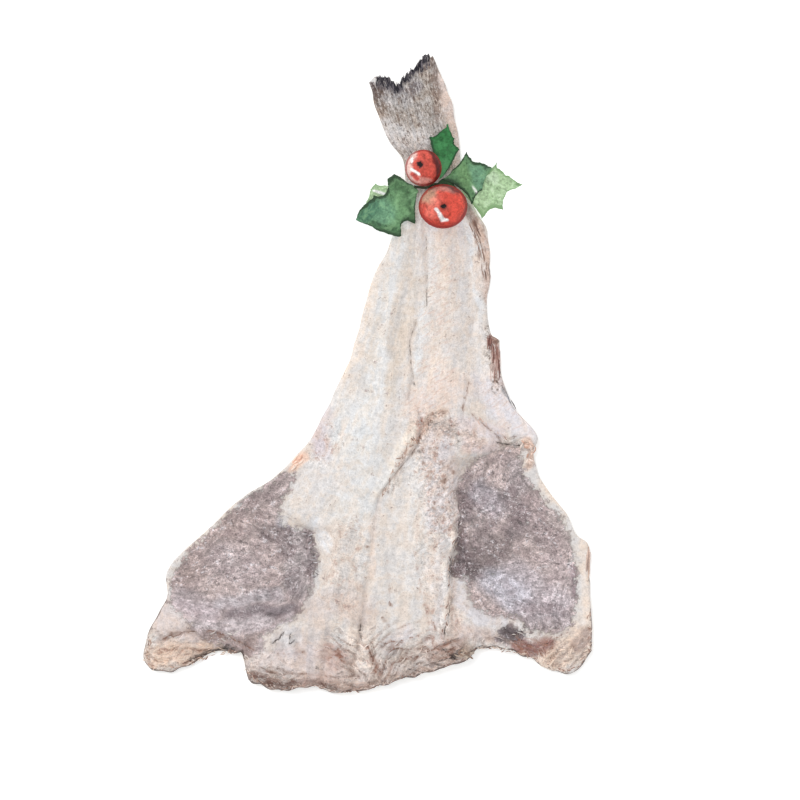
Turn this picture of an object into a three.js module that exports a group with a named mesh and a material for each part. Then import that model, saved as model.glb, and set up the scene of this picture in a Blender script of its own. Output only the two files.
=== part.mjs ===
// Salted dried cod, split from the belly, opened out and dried flat, with a sprig
// of ornamental holly on the tail stalk.
//
// Millimetres. Y runs along the fish with the tail at +Y, X across it, Z up; the
// skin side lies on z = 0 and the cut flesh faces up.
//
// The fish is one solid: a net of columns (head to tail) and rows (side to side)
// laid between four edge curves, with a thickness over every point of the net.
// Two guide lines mark where the thick loins stop and the thin belly membranes
// start, a third marks the split down the middle, and the columns follow them.

import * as THREE from 'three';

// ------------------------------------------------------------ fish: outline

// Corners of the tail fin and of the two belly lobes, at the ends of each side.
const TAIL_CORNER_Y = { left: 291, right: 289 };
const LOBE_CORNER_Y = { left: -291, right: -277 };

// Both sides: [station along the fish, x of the edge there].
const LEFT_SIDE = [
  [291, 0], [259, 9], [233, 20], [213, 34], [185, 37], [160, 32], [133, 22], [93, 4],
  [53, -8], [13, -19], [-27, -38], [-67, -58], [-82, -72], [-92, -82], [-107, -98],
  [-121, -122], [-155, -160], [-180, -187], [-193, -199], [-203, -203], [-218, -202],
  [-239, -210], [-263, -221], [-285, -225], [-291, -223],
];
const RIGHT_SIDE = [
  [289, 76], [267, 83], [233, 90], [198, 92], [160, 108], [138, 119], [113, 121],
  [63, 118], [48, 120], [38, 123], [33, 131], [3, 131], [-17, 136], [-37, 146], [-65, 168],
  [-78, 163], [-97, 167], [-119, 180], [-143, 199], [-161, 207], [-171, 219],
  [-203, 220], [-239, 222], [-277, 222],
];

// Hind edge of the tail fin and front edge of the lobes and neck: [x, y].
const TAIL_EDGE = [
  [0, 291], [7, 297], [20, 295], [28, 288], [33, 295], [45, 305], [57, 318],
  [63, 317], [69, 304], [76, 289],
];
const HEAD_EDGE = [
  [-223, -291], [-217, -296], [-199, -297], [-175, -289], [-151, -279], [-128, -278],
  [-120, -305], [-103, -313], [-85, -316], [-61, -312], [-31, -319], [-13, -318],
  [5, -313], [53, -299], [80, -291], [98, -284], [108, -276], [119, -273], [161, -284],
  [185, -297], [196, -299], [206, -297], [222, -277],
];
const TAIL_WIDTH = TAIL_EDGE[TAIL_EDGE.length - 1][0];
const TAIL_BLEND = 0.15;   // share of the length that follows the tail edge
const HEAD_BLEND = 0.2;    // share of the length that follows the head edge

// Small raggedness of the sides and of the head edge.
const RAGGED_LEFT = { height: 1.1, length: 15, seed: 31 };
const RAGGED_RIGHT = { height: 1.1, length: 15, seed: 37 };
const RAGGED_HEAD = { height: 1.8, length: 9, seed: 41 };
const RAGGED_CORNER = 12;  // it fades over this distance from the corners

// Fin rays: ridges on the tail fin and broken tips along its edge.
const RAY_PITCH = 4.4;
const RAY_RIDGE = 0.45;
const RAY_LEAN = -0.35;    // x over y along a ray in the middle of the fin
const RAY_TIP = { mean: 1.5, spread: 1.1, seed: 5 };
const RAYS_X = { from: 6, to: 66, fade: 4 };

// ------------------------------------------------------------ fish: guide lines

// Outer edge of the left loin, the split, and outer edge of the right loin.
const LEFT_LOIN = [
  [291, 18], [190, 48], [113, 32], [33, 5], [-27, -15], [-67, -42], [-93, -66],
  [-119, -82], [-135, -87], [-149, -77], [-160, -57], [-189, -52], [-210, -59],
  [-235, -66], [-249, -88], [-265, -110], [-291, -122],
];
const SPLIT = [
  [291, 37], [230, 56], [190, 63], [141, 55], [73, 58], [32, 41], [-2, 43], [-25, 43],
  [-49, 52], [-67, 49], [-102, 24], [-125, 9], [-187, 1], [-257, -8], [-291, -16],
];
const RIGHT_LOIN = [
  [289, 57], [190, 78], [113, 98], [33, 103], [-7, 103], [-40, 114], [-66, 131],
  [-79, 120], [-92, 95], [-112, 88], [-162, 88], [-187, 80], [-227, 82], [-262, 80],
  [-277, 98],
];
const GUIDE_HALF = 1.6;    // the two columns that flank a guide line
// The line that the grain of the flesh follows, smoother than the split.
const GRAIN_LINE = [
  [291, 37], [230, 56], [190, 63], [100, 58], [10, 48], [-70, 36], [-160, 10],
  [-250, -6], [-291, -12],
];

// ------------------------------------------------------------ fish: thickness

// Thickness of the belly wall on either side and, above it, of the loins.
const LEFT_WALL = [
  [319, 2.2], [250, 3], [200, 4.5], [100, 5], [0, 6], [-70, 8], [-92, 7], [-104, 5],
  [-215, 5], [-236, 8], [-265, 11], [-300, 8],
];
const RIGHT_WALL = [
  [319, 2.2], [250, 3], [200, 4.5], [100, 5], [40, 4.5], [10, 4.5], [-15, 8],
  [-40, 11], [-66, 12], [-79, 6], [-86, 5], [-235, 5], [-255, 8], [-277, 11], [-300, 8],
];
const LOIN_RISE = [
  [300, 0], [262, 1.5], [235, 5], [205, 8], [150, 9], [100, 10], [40, 12], [-30, 15],
  [-90, 17], [-180, 18], [-250, 17], [-300, 12], [-320, 8],
];
// Half width of the slope at the outer edge of each loin.
const LEFT_SLOPE = [
  [300, 16], [190, 12], [100, 24], [0, 28], [-60, 24], [-90, 14], [-105, 9], [-235, 9],
  [-265, 4], [-320, 4],
];
const RIGHT_SLOPE = [
  [300, 16], [190, 12], [100, 20], [20, 16], [-20, 16], [-60, 20], [-80, 8], [-140, 9],
  [-162, 3], [-320, 3],
];
// Height of a loin at its outer edge as a share of its crown. The left one runs out
// thin into the belly wall, the right one ends in a raised flap.
const LEFT_LOIN_EDGE = [
  [300, 0.85], [0, 0.8], [-60, 0.55], [-105, 0.16], [-235, 0.16], [-265, 0.5], [-320, 0.5],
];
const RIGHT_LOIN_EDGE = [
  [300, 0.85], [0, 0.8], [-50, 0.6], [-80, 0.3], [-140, 0.24], [-165, 0.52], [-320, 0.52],
];
const LOIN_SHOULDER = 0.55;   // share of a loin's width that climbs to the crown

// The split is a crease in the tail half and a stepped cut in the head half.
const SPLIT_DEPTH = [[240, 0], [200, 1], [60, 1.1], [-60, 1], [-120, 1.2], [-200, 2], [-320, 3]];
const SPLIT_HALF = 3.2;
const CUT_STEP = [[-30, 0], [-48, 3.4], [-110, 3.6], [-140, 1.4], [-190, 0]];
const CUT_STEP_REACH = 34;    // how far to the left of the split the step fades

// The outer parts stand a little off the ground: belly walls, lobes and tail fin.
const WALL_LIFT = 3.6;
const WALL_LIFT_Y = { none: 60, full: -80 };
const LIFT_WAVE = { length: 74, share: 0.4 };
const TAIL_LIFT = 5;
const TAIL_LIFT_FROM = 190;
const GROUND_MARGIN = 12;     // how far inside the loins the ground contact stops

const RIM_ROUND = 3.2;        // radius of the edge all round
const NECK_ROUND = 7;         // and along the thick cut at the head end
const NECK_Y = { none: -150, full: -250 };
const RIM_SHARE = 0.4;        // share of the thickness left at the very edge
const LEAST_THICKNESS = 1.6;

// Turned-up skin along the right side of the tail half: [x, y] of its crest.
const SKIN_CREST = [[94, 143], [101, 111], [108, 74], [110, 40]];
const SKIN_CREST_RISE = 2.6;
const SKIN_CREST_HALF = 4.5;

// Furrows that cut the head end and the lobes: points, depth and half width.
const FURROWS = [
  { points: [[-206, -263], [-194, -260], [-178, -257]], depth: 3.2, half: 5 },
  { points: [[-159, -262], [-130, -268], [-112, -272]], depth: 2.6, half: 5 },
  { points: [[-93, -258], [-90, -274]], depth: 3, half: 4 },
  { points: [[-73, -258], [-72, -276]], depth: 2.6, half: 4 },
  { points: [[-40, -262], [-46, -300]], depth: 3, half: 5 },
  { points: [[-8, -248], [-10, -285]], depth: 4, half: 5 },
  { points: [[28, -250], [20, -292]], depth: 2.6, half: 5 },
  { points: [[62, -262], [44, -280]], depth: 2.4, half: 5 },
  { points: [[96, -214], [112, -243], [152, -248], [164, -259], [196, -258]],
    depth: 1.8, half: 5 },
  { points: [[190, -283], [204, -290]], depth: 2, half: 5 },
  { points: [[133, -71], [151, -74]], depth: 3, half: 4 },
];
const KNOBS = [
  { x: -111, y: -300, radius: 9, height: 3 },
  { x: -208, y: -283, radius: 16, height: 2.5 },
  { x: 97, y: -276, radius: 9, height: 3 },
  { x: 205, y: -272, radius: 17, height: 2.5 },
  { x: 62, y: -125, radius: 26, height: 2 },
  { x: -24, y: -200, radius: 26, height: 1.6 },
];

// Uneven surface: flakes on the flesh, wrinkles on the membranes, crags at the neck.
const FLAKE = { height: 1.3, long: 46, wide: 13, seed: 3 };
const FLAKE_ON_WALLS = 0.35;
const WRINKLE = { height: 1.4, long: 60, wide: 17, seed: 11 };
const WRINKLE_SLANT = 0.3;
const WRINKLES_Y = { none: -70, full: -110 };
const CRAG = { height: 4, long: 20, wide: 17, seed: 23 };
const CRAGS_Y = { none: -235, full: -290 };

// ------------------------------------------------------------ fish: net

const RIM_STEPS = [1.6, 4.8];                  // columns and rows close to the edge
const BAND_COLUMNS = [13, 12, 12, 13];         // wall, loin, loin, wall
const ROWS = 68;                               // evenly spaced, besides the rim rows

// ------------------------------------------------------------ holly

// Stalk axis under the sprig and the height at which the lowest leaf lies on it.
const SPRIG = { x: 64, y: 188, top: 15.1, foot: 5, spreadX: 42, spreadY: 66 };
const LEAF_THICKNESS = 0.9;
const LEAF_ROUGHNESS = 0.6;
const LEAF_PITCH = 1.3;        // from one layer of leaves to the next
// Mesh cells from stem to tip and from margin to margin.
const LARGE_LEAF = { along: 12, across: 6 };
const SMALL_LEAF = { along: 6, across: 4 };
const LEAF_WAVE = { height: 0.5, length: 21 };
const CURL_FROM = 0.45;        // share of a leaf's length from which its tip lifts

// Each margin runs from the stem through its spines to the tip: [x, y, hollow],
// with the hollow of the arc that ends there as a share of its chord.
const LEAVES = [
  {
    name: 'leaf_left_pale', cells: SMALL_LEAF, layer: -1, curl: 0, cup: 0.1, colour: [0.36, 0.55, 0.33],
    stem: [24, 186],
    above: [[6, 190.5, 0.03], [1, 184, 0], [-3, 170, 0.04]],
    below: [[11, 172, 0], [-3, 170, 0]],
  },
  {
    name: 'leaf_left', cells: LARGE_LEAF, layer: 0, curl: 0, cup: 0.7, colour: [0.13, 0.32, 0.14],
    stem: [49, 182],
    above: [[25, 199.5, -0.05], [18.5, 194.5, 0], [4, 178, 0.36], [-13.5, 153.5, 0.03]],
    below: [[45.5, 150, 0.04], [29, 137.5, 0.5], [-13.5, 153.5, 0.06]],
  },
  {
    name: 'leaf_right_pale', cells: LARGE_LEAF, layer: 0, curl: 2, cup: 0.8, colour: [0.42, 0.62, 0.36],
    stem: [92, 182],
    above: [[128, 212, 0.04], [127.5, 205, 0], [140, 195, 0], [154, 189.5, 0.04]],
    below: [[112.5, 154, 0.04], [134, 163, 0.25], [138, 181, 0.1], [154, 189.5, 0.03]],
  },
  {
    name: 'leaf_top', cells: LARGE_LEAF, layer: 0, curl: 4, cup: 0.6, colour: [0.05, 0.24, 0.08],
    stem: [70, 193.2],
    above: [[59, 236, 0.03], [79, 249, 0.14]],
    below: [[90, 224, -0.05], [85.5, 234.5, 0.27], [79, 249, 0.06]],
  },
  {
    name: 'leaf_base', cells: SMALL_LEAF, layer: 0, curl: 0, cup: 0.2, colour: [0.03, 0.1, 0.04],
    stem: [62, 184],
    above: [[78, 194.5, -0.08], [89, 182, -0.05]],
    below: [[74, 178, 0], [89, 182, 0]],
  },
  {
    name: 'leaf_right', cells: LARGE_LEAF, layer: 1, curl: 3, cup: 0.7, colour: [0.14, 0.33, 0.12],
    stem: [73, 194],
    above: [[97.5, 222, 0.08], [104, 212, 0.05], [118, 207.5, 0.03], [122, 203, 0]],
    below: [[102.5, 169.5, 0.1], [113, 182.5, 0.1], [122, 203, 0.08]],
  },
];

// Berries: plan centre, radii, height of the underside, and where the dimple sits.
const BERRIES = [
  { name: 'berry_upper', x: 54, y: 204, rx: 18.2, ry: 18.2, rz: 14, foot: 12.7, dimple: [-3, 2.7] },
  { name: 'berry_lower', x: 73.5, y: 165.5, rx: 24.3, ry: 22, rz: 17, foot: 14.3, dimple: [0.6, -1.3] },
];
const BERRY_FINISH = { colour: [0.62, 0.07, 0.04], roughness: 0.4 };
const BERRY_RINGS = [0.05, 0.12, 0.22, 0.5, 0.85, 1.2, 1.57, 1.95, 2.35, 2.75];
const BERRY_SIDES = 20;
const DIMPLE_DEPTH = 0.14;     // share of the radius
const DIMPLE_ANGLE = 0.13;

const TWIG = {
  radius: 1.5, sides: 8, steps: 18, layer: 1,
  path: [[45, 186], [56, 185], [66, 188.5], [77, 187.5], [89, 180.5], [97.5, 168.5]],
};
const TWIG_FINISH = { colour: [0.03, 0.06, 0.03], roughness: 0.7 };

const FISH_FINISH = { colour: [0.74, 0.67, 0.6], roughness: 0.75 };

// ------------------------------------------------------------ small mathematics

const clamp = (value, low, high) => Math.min(high, Math.max(low, value));
const mix = (a, b, share) => a + (b - a) * share;

function smooth(from, to, value) {
  const share = clamp((value - from) / (to - from), 0, 1);
  return share * share * (3 - 2 * share);
}

// A smooth curve through [t, value] stations that never overshoots them.
function curveThrough(stations) {
  const sorted = [...stations].sort((a, b) => a[0] - b[0]);
  const last = sorted.length - 1;
  const slopes = [];
  for (let i = 0; i < last; i += 1) {
    slopes.push((sorted[i + 1][1] - sorted[i][1]) / (sorted[i + 1][0] - sorted[i][0]));
  }
  const tangents = sorted.map((_, i) => {
    if (i === 0) return slopes[0];
    if (i === last) return slopes[last - 1];
    if (slopes[i - 1] * slopes[i] <= 0) return 0;
    return 2 * slopes[i - 1] * slopes[i] / (slopes[i - 1] + slopes[i]);
  });
  return (t) => {
    if (t <= sorted[0][0]) return sorted[0][1];
    if (t >= sorted[last][0]) return sorted[last][1];
    let i = 0;
    while (sorted[i + 1][0] < t) i += 1;
    const span = sorted[i + 1][0] - sorted[i][0];
    const s = (t - sorted[i][0]) / span;
    const s2 = s * s;
    const s3 = s2 * s;
    return (2 * s3 - 3 * s2 + 1) * sorted[i][1]
      + (s3 - 2 * s2 + s) * span * tangents[i]
      + (3 * s2 - 2 * s3) * sorted[i + 1][1]
      + (s3 - s2) * span * tangents[i + 1];
  };
}

// Repeatable value noise between -1 and 1: the fraction of a very fast wave.
const WAVE = { perColumn: 127.1, perRow: 311.7, perSeed: 74.7, height: 43758.5453 };

function lattice(i, j, seed) {
  const phase = i * WAVE.perColumn + j * WAVE.perRow + seed * WAVE.perSeed;
  const wave = Math.sin(phase) * WAVE.height;
  return 2 * (wave - Math.floor(wave)) - 1;
}

function noise(x, y, seed) {
  const i = Math.floor(x);
  const j = Math.floor(y);
  const fx = smooth(0, 1, x - i);
  const fy = smooth(0, 1, y - j);
  const low = mix(lattice(i, j, seed), lattice(i + 1, j, seed), fx);
  const high = mix(lattice(i, j + 1, seed), lattice(i + 1, j + 1, seed), fx);
  return mix(low, high, fy);
}

function relief(kind, across, along) {
  const coarse = noise(across / kind.wide, along / kind.long, kind.seed);
  const fine = noise(2 * across / kind.wide, 2 * along / kind.long, kind.seed + 1);
  return kind.height * (coarse + 0.5 * fine);
}

// Distance from a point to a line of points.
function distanceTo(points, x, y) {
  let nearest = Infinity;
  for (let i = 0; i + 1 < points.length; i += 1) {
    const [ax, ay] = points[i];
    const [bx, by] = points[i + 1];
    const lengthSquared = (bx - ax) ** 2 + (by - ay) ** 2;
    const share = clamp(((x - ax) * (bx - ax) + (y - ay) * (by - ay)) / lengthSquared, 0, 1);
    nearest = Math.min(nearest, Math.hypot(x - mix(ax, bx, share), y - mix(ay, by, share)));
  }
  return nearest;
}

const bell = (distance, half) => Math.exp(-((distance / half) ** 2));

// ------------------------------------------------------------ fish: functions

// An outline curve with seeded raggedness that fades towards both of its ends.
function raggedCurve(stations, ragged) {
  const curve = curveThrough(stations);
  const ends = stations.map((station) => station[0]);
  const low = Math.min(...ends);
  const high = Math.max(...ends);
  return (t) => {
    const fade = smooth(0, RAGGED_CORNER, t - low) * smooth(0, RAGGED_CORNER, high - t);
    return curve(t) + fade * ragged.height * noise(t / ragged.length, 0, ragged.seed);
  };
}

const leftSide = raggedCurve(LEFT_SIDE, RAGGED_LEFT);
const rightSide = raggedCurve(RIGHT_SIDE, RAGGED_RIGHT);
const tailLine = curveThrough(TAIL_EDGE);
const headLine = raggedCurve(HEAD_EDGE, RAGGED_HEAD);
const leftLoin = curveThrough(LEFT_LOIN);
const split = curveThrough(SPLIT);
const rightLoin = curveThrough(RIGHT_LOIN);
const leftWall = curveThrough(LEFT_WALL);
const rightWall = curveThrough(RIGHT_WALL);
const loinRise = curveThrough(LOIN_RISE);
const leftSlope = curveThrough(LEFT_SLOPE);
const rightSlope = curveThrough(RIGHT_SLOPE);
const leftLoinEdge = curveThrough(LEFT_LOIN_EDGE);
const rightLoinEdge = curveThrough(RIGHT_LOIN_EDGE);
const grainLine = curveThrough(GRAIN_LINE);
const splitDepth = curveThrough(SPLIT_DEPTH);
const cutStep = curveThrough(CUT_STEP);

function tailEdge(x) {
  const { from, to, fade } = RAYS_X;
  const onRays = smooth(from, from + fade, x) * smooth(to, to - fade, x);
  const ray = Math.floor(x / RAY_PITCH);
  const offCentre = Math.abs(2 * (x / RAY_PITCH - ray) - 1);
  const tip = RAY_TIP.mean + RAY_TIP.spread * lattice(ray, 0, RAY_TIP.seed);
  return tailLine(x) + onRays * tip * (1 - 2 * offCentre);
}

// Crosses the fish at one station: the columns' x, with those near the rim and
// beside the guide lines at fixed distances.
function columnsAt(stationLeft, stationRight) {
  const left = leftSide(stationLeft);
  const right = rightSide(stationRight);
  const station = (stationLeft + stationRight) / 2;
  const knots = [
    left + RIM_STEPS[1],
    leftLoin(station) - GUIDE_HALF,
    leftLoin(station) + GUIDE_HALF,
    split(station),
    rightLoin(station) - GUIDE_HALF,
    rightLoin(station) + GUIDE_HALF,
    right - RIM_STEPS[1],
  ];
  const cells = [BAND_COLUMNS[0], 1, BAND_COLUMNS[1], BAND_COLUMNS[2], 1, BAND_COLUMNS[3]];
  const columns = [left, left + RIM_STEPS[0], knots[0]];
  cells.forEach((count, band) => {
    for (let k = 1; k <= count; k += 1) {
      columns.push(mix(knots[band], knots[band + 1], k / count));
    }
  });
  columns.push(right - RIM_STEPS[0], right);
  return columns;
}

// Rows as shares of the length, from tail (0) to head (1).
function rowShares() {
  const length = TAIL_CORNER_Y.left - LOBE_CORNER_Y.left;
  const margin = RIM_STEPS[1] / length;
  const shares = [0, RIM_STEPS[0] / length];
  for (let k = 0; k <= ROWS; k += 1) {
    shares.push(mix(margin, 1 - margin, k / ROWS));
  }
  shares.push(1 - RIM_STEPS[0] / length, 1);
  return shares;
}

// The net in plan: rows of [x, y].
function planNet() {
  return rowShares().map((share) => {
    const yLeft = mix(TAIL_CORNER_Y.left, LOBE_CORNER_Y.left, share);
    const yRight = mix(TAIL_CORNER_Y.right, LOBE_CORNER_Y.right, share);
    const tailPull = clamp(1 - share / TAIL_BLEND, 0, 1) ** 2;
    const headPull = clamp(1 - (1 - share) / HEAD_BLEND, 0, 1) ** 2;
    const columns = columnsAt(yLeft, yRight);
    const left = columns[0];
    const width = columns[columns.length - 1] - left;
    return columns.map((x) => {
      const across = (x - left) / width;
      const tailX = mix(0, TAIL_WIDTH, across);
      const tailOffset = tailEdge(tailX) - mix(TAIL_CORNER_Y.left, TAIL_CORNER_Y.right, across);
      const headOffset = headLine(x) - mix(LOBE_CORNER_Y.left, LOBE_CORNER_Y.right, across);
      const y = mix(yLeft, yRight, across) + tailPull * tailOffset + headPull * headOffset;
      return [x, y];
    });
  });
}

// Slope of a curve, taken over a short step.
const SLOPE_STEP = 2;
const slopeOf = (curve, t) => (curve(t + SLOPE_STEP) - curve(t - SLOPE_STEP)) / (2 * SLOPE_STEP);

// Distance from a point of the fish to its outline.
function inset(x, y) {
  const fromLeft = (x - leftSide(y)) / Math.hypot(1, slopeOf(leftSide, y));
  const fromRight = (rightSide(y) - x) / Math.hypot(1, slopeOf(rightSide, y));
  const fromTail = tailEdge(clamp(x, 0, TAIL_WIDTH)) - y;
  const fromHead = (y - headLine(x)) / Math.hypot(1, slopeOf(headLine, x));
  return Math.max(0, Math.min(fromLeft, fromRight, fromTail, fromHead));
}

// How much of a point belongs to the loins rather than to the belly walls.
function loinShare(x, y) {
  const left = smooth(-1, 1, (x - leftLoin(y)) / leftSlope(y));
  const right = smooth(-1, 1, (rightLoin(y) - x) / rightSlope(y));
  return left * right;
}

function loinProfile(x, y) {
  const middle = split(y);
  const onLeft = x < middle;
  const outer = onLeft ? leftLoin(y) : rightLoin(y);
  const edge = onLeft ? leftLoinEdge(y) : rightLoinEdge(y);
  const fromEdge = (x - outer) / (middle - outer);
  const climb = Math.sin(Math.PI / 2 * clamp(fromEdge / LOIN_SHOULDER, 0, 1));
  const crown = mix(edge, 1, climb);
  const fromSplit = x - middle;
  const step = fromSplit < 0 ? cutStep(y) * bell(fromSplit, CUT_STEP_REACH) : 0;
  return loinRise(y) * crown - splitDepth(y) * bell(fromSplit, SPLIT_HALF) + step;
}

function features(x, y) {
  let height = SKIN_CREST_RISE * bell(distanceTo(SKIN_CREST, x, y), SKIN_CREST_HALF);
  for (const furrow of FURROWS) {
    height -= furrow.depth * bell(distanceTo(furrow.points, x, y), furrow.half);
  }
  for (const knob of KNOBS) {
    height += knob.height * bell(Math.hypot(x - knob.x, y - knob.y), knob.radius);
  }
  return height;
}

function roughness(x, y, onLoin) {
  const across = x - grainLine(y);
  const finless = smooth(TAIL_CORNER_Y.left, TAIL_LIFT_FROM, y);
  const flakes = relief(FLAKE, across, y) * mix(FLAKE_ON_WALLS, 1, onLoin) * finless;
  const finX = x + RAY_LEAN * (TAIL_CORNER_Y.left - y);
  const rays = RAY_RIDGE * Math.cos(2 * Math.PI * finX / RAY_PITCH) * (1 - finless);
  const wrinkled = (1 - onLoin) * smooth(WRINKLES_Y.none, WRINKLES_Y.full, y);
  const wrinkles = wrinkled * relief(WRINKLE, y + WRINKLE_SLANT * across, across);
  const crags = smooth(CRAGS_Y.none, CRAGS_Y.full, y) * relief(CRAG, x, y);
  return flakes + rays + wrinkles + crags;
}

function underside(x, y) {
  const beyondLeft = (leftLoin(y) + GROUND_MARGIN - x) / (leftLoin(y) + GROUND_MARGIN - leftSide(y));
  const beyondRight = (x - rightLoin(y) + GROUND_MARGIN) / (rightSide(y) - rightLoin(y) + GROUND_MARGIN);
  const beyond = clamp(Math.max(beyondLeft, beyondRight), 0, 1);
  const phase = (2 * Math.PI * y + x) / LIFT_WAVE.length;
  const wave = 1 - LIFT_WAVE.share * (1 - Math.sin(phase));
  const onWalls = smooth(WALL_LIFT_Y.none, WALL_LIFT_Y.full, y);
  const walls = WALL_LIFT * onWalls * smooth(0, 1, beyond) * wave;
  const tail = TAIL_LIFT * smooth(TAIL_LIFT_FROM, TAIL_CORNER_Y.left, y);
  return walls + tail;
}

// Heights of the two faces at a point of the fish.
function faces(x, y) {
  const onLoin = loinShare(x, y);
  const between = smooth(leftLoin(y), rightLoin(y), x);
  const wall = mix(leftWall(y), rightWall(y), between);
  const solid = wall + onLoin * loinProfile(x, y) + features(x, y) + roughness(x, y, onLoin);
  const full = Math.max(solid, LEAST_THICKNESS);
  const atNeck = onLoin * smooth(NECK_Y.none, NECK_Y.full, y);
  const round = mix(RIM_ROUND, NECK_ROUND, atNeck);
  const depth = clamp(inset(x, y) / round, 0, 1);
  const kept = mix(RIM_SHARE, 1, Math.sqrt(1 - (1 - depth) ** 2));
  const thickness = full * kept;
  const bottom = underside(x, y) + (full - thickness) * RIM_SHARE;
  return { top: bottom + thickness, bottom };
}

// ------------------------------------------------------------ closed meshes

const CORNER_STEP = 0.001;     // corners closer than this are one

// Collects triangles over shared corners and leaves out those that have no area.
class Solid {
  constructor() {
    this.positions = [];
    this.triangles = [];
    this.known = new Map();
  }

  corner(x, y, z) {
    const key = [x, y, z].map((value) => Math.round(value / CORNER_STEP)).join(' ');
    if (!this.known.has(key)) {
      this.known.set(key, this.positions.length / 3);
      this.positions.push(x, y, z);
    }
    return this.known.get(key);
  }

  triangle(a, b, c) {
    if (a !== b && b !== c && c !== a) this.triangles.push(a, b, c);
  }

  quad(a, b, c, d) {
    this.triangle(a, b, c);
    this.triangle(a, c, d);
  }

  mesh(name, { colour, roughness }) {
    const geometry = new THREE.BufferGeometry();
    geometry.setAttribute('position', new THREE.Float32BufferAttribute(this.positions, 3));
    geometry.setIndex(this.triangles);
    geometry.computeVertexNormals();
    const material = new THREE.MeshStandardMaterial({
      color: new THREE.Color(...colour),
      roughness,
      metalness: 0,
    });
    const mesh = new THREE.Mesh(geometry, material);
    mesh.name = name;
    return mesh;
  }
}

// The corners round the rim of a net of rows, counter-clockwise seen from above
// when the first row is the far one.
function rimOf(rows, step) {
  const lastRow = rows.length - 1;
  const lastColumn = rows[0].length - 1;
  const rim = [];
  for (let i = 0; i < lastRow; i += step) rim.push(rows[i][0]);
  for (let j = 0; j < lastColumn; j += step) rim.push(rows[lastRow][j]);
  for (let i = lastRow; i > 0; i -= step) rim.push(rows[i][lastColumn]);
  for (let j = lastColumn; j > 0; j -= step) rim.push(rows[0][j]);
  return rim;
}

function fishMesh() {
  const solid = new Solid();
  const net = planNet();
  const heights = net.map((row) => row.map(([x, y]) => faces(x, y)));
  const top = net.map((row, i) => row.map(([x, y], j) => solid.corner(x, y, heights[i][j].top)));
  // The underside is plain and takes every other row and column.
  const bottom = net.map((row, i) => row.map(([x, y], j) => (
    i % 2 === 0 && j % 2 === 0 ? solid.corner(x, y, heights[i][j].bottom) : -1
  )));
  for (let i = 0; i + 1 < net.length; i += 1) {
    for (let j = 0; j + 1 < net[i].length; j += 1) {
      solid.quad(top[i][j], top[i + 1][j], top[i + 1][j + 1], top[i][j + 1]);
    }
  }
  for (let i = 0; i + 2 < net.length; i += 2) {
    for (let j = 0; j + 2 < net[i].length; j += 2) {
      solid.quad(bottom[i][j], bottom[i][j + 2], bottom[i + 2][j + 2], bottom[i + 2][j]);
    }
  }
  const upperRim = rimOf(top, 1);
  const lowerRim = rimOf(bottom, 2);
  lowerRim.forEach((low, k) => {
    const nextLow = lowerRim[(k + 1) % lowerRim.length];
    const first = upperRim[2 * k];
    const second = upperRim[2 * k + 1];
    const third = upperRim[(2 * k + 2) % upperRim.length];
    solid.triangle(low, second, first);
    solid.triangle(low, nextLow, second);
    solid.triangle(nextLow, third, second);
  });
  return solid.mesh('cod', FISH_FINISH);
}

// ------------------------------------------------------------ holly: functions

// The bed on which the sprig lies: a low dome over the stalk.
function bed(x, y) {
  const away = Math.hypot((x - SPRIG.x) / SPRIG.spreadX, (y - SPRIG.y) / SPRIG.spreadY);
  const wave = LEAF_WAVE.height * Math.sin(x / LEAF_WAVE.length * 2) * Math.cos(y / LEAF_WAVE.length);
  return SPRIG.foot + (SPRIG.top - SPRIG.foot) / (1 + away * away) + wave;
}

// A margin of a leaf: arcs from the stem through the spines to the tip, each bowed
// towards the inside, given by the sign of `side`.
function margin(stem, spines, side, along) {
  const points = [stem];
  const perArc = along / spines.length;
  let from = stem;
  for (const [toX, toY, hollow] of spines) {
    for (let k = 1; k <= perArc; k += 1) {
      const share = k / perArc;
      const bow = 4 * hollow * share * (1 - share) * side;
      points.push([
        mix(from[0], toX, share) + bow * (toY - from[1]),
        mix(from[1], toY, share) - bow * (toX - from[0]),
      ]);
    }
    from = [toX, toY];
  }
  return points;
}

// Whether the margin called `above` lies to the left of the way from stem to tip.
function sideOf(leaf) {
  const [tipX, tipY] = leaf.above[leaf.above.length - 1];
  const [spineX, spineY] = leaf.above[0];
  const turn = (tipX - leaf.stem[0]) * (spineY - leaf.stem[1])
    - (tipY - leaf.stem[1]) * (spineX - leaf.stem[0]);
  return Math.sign(turn);
}

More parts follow.
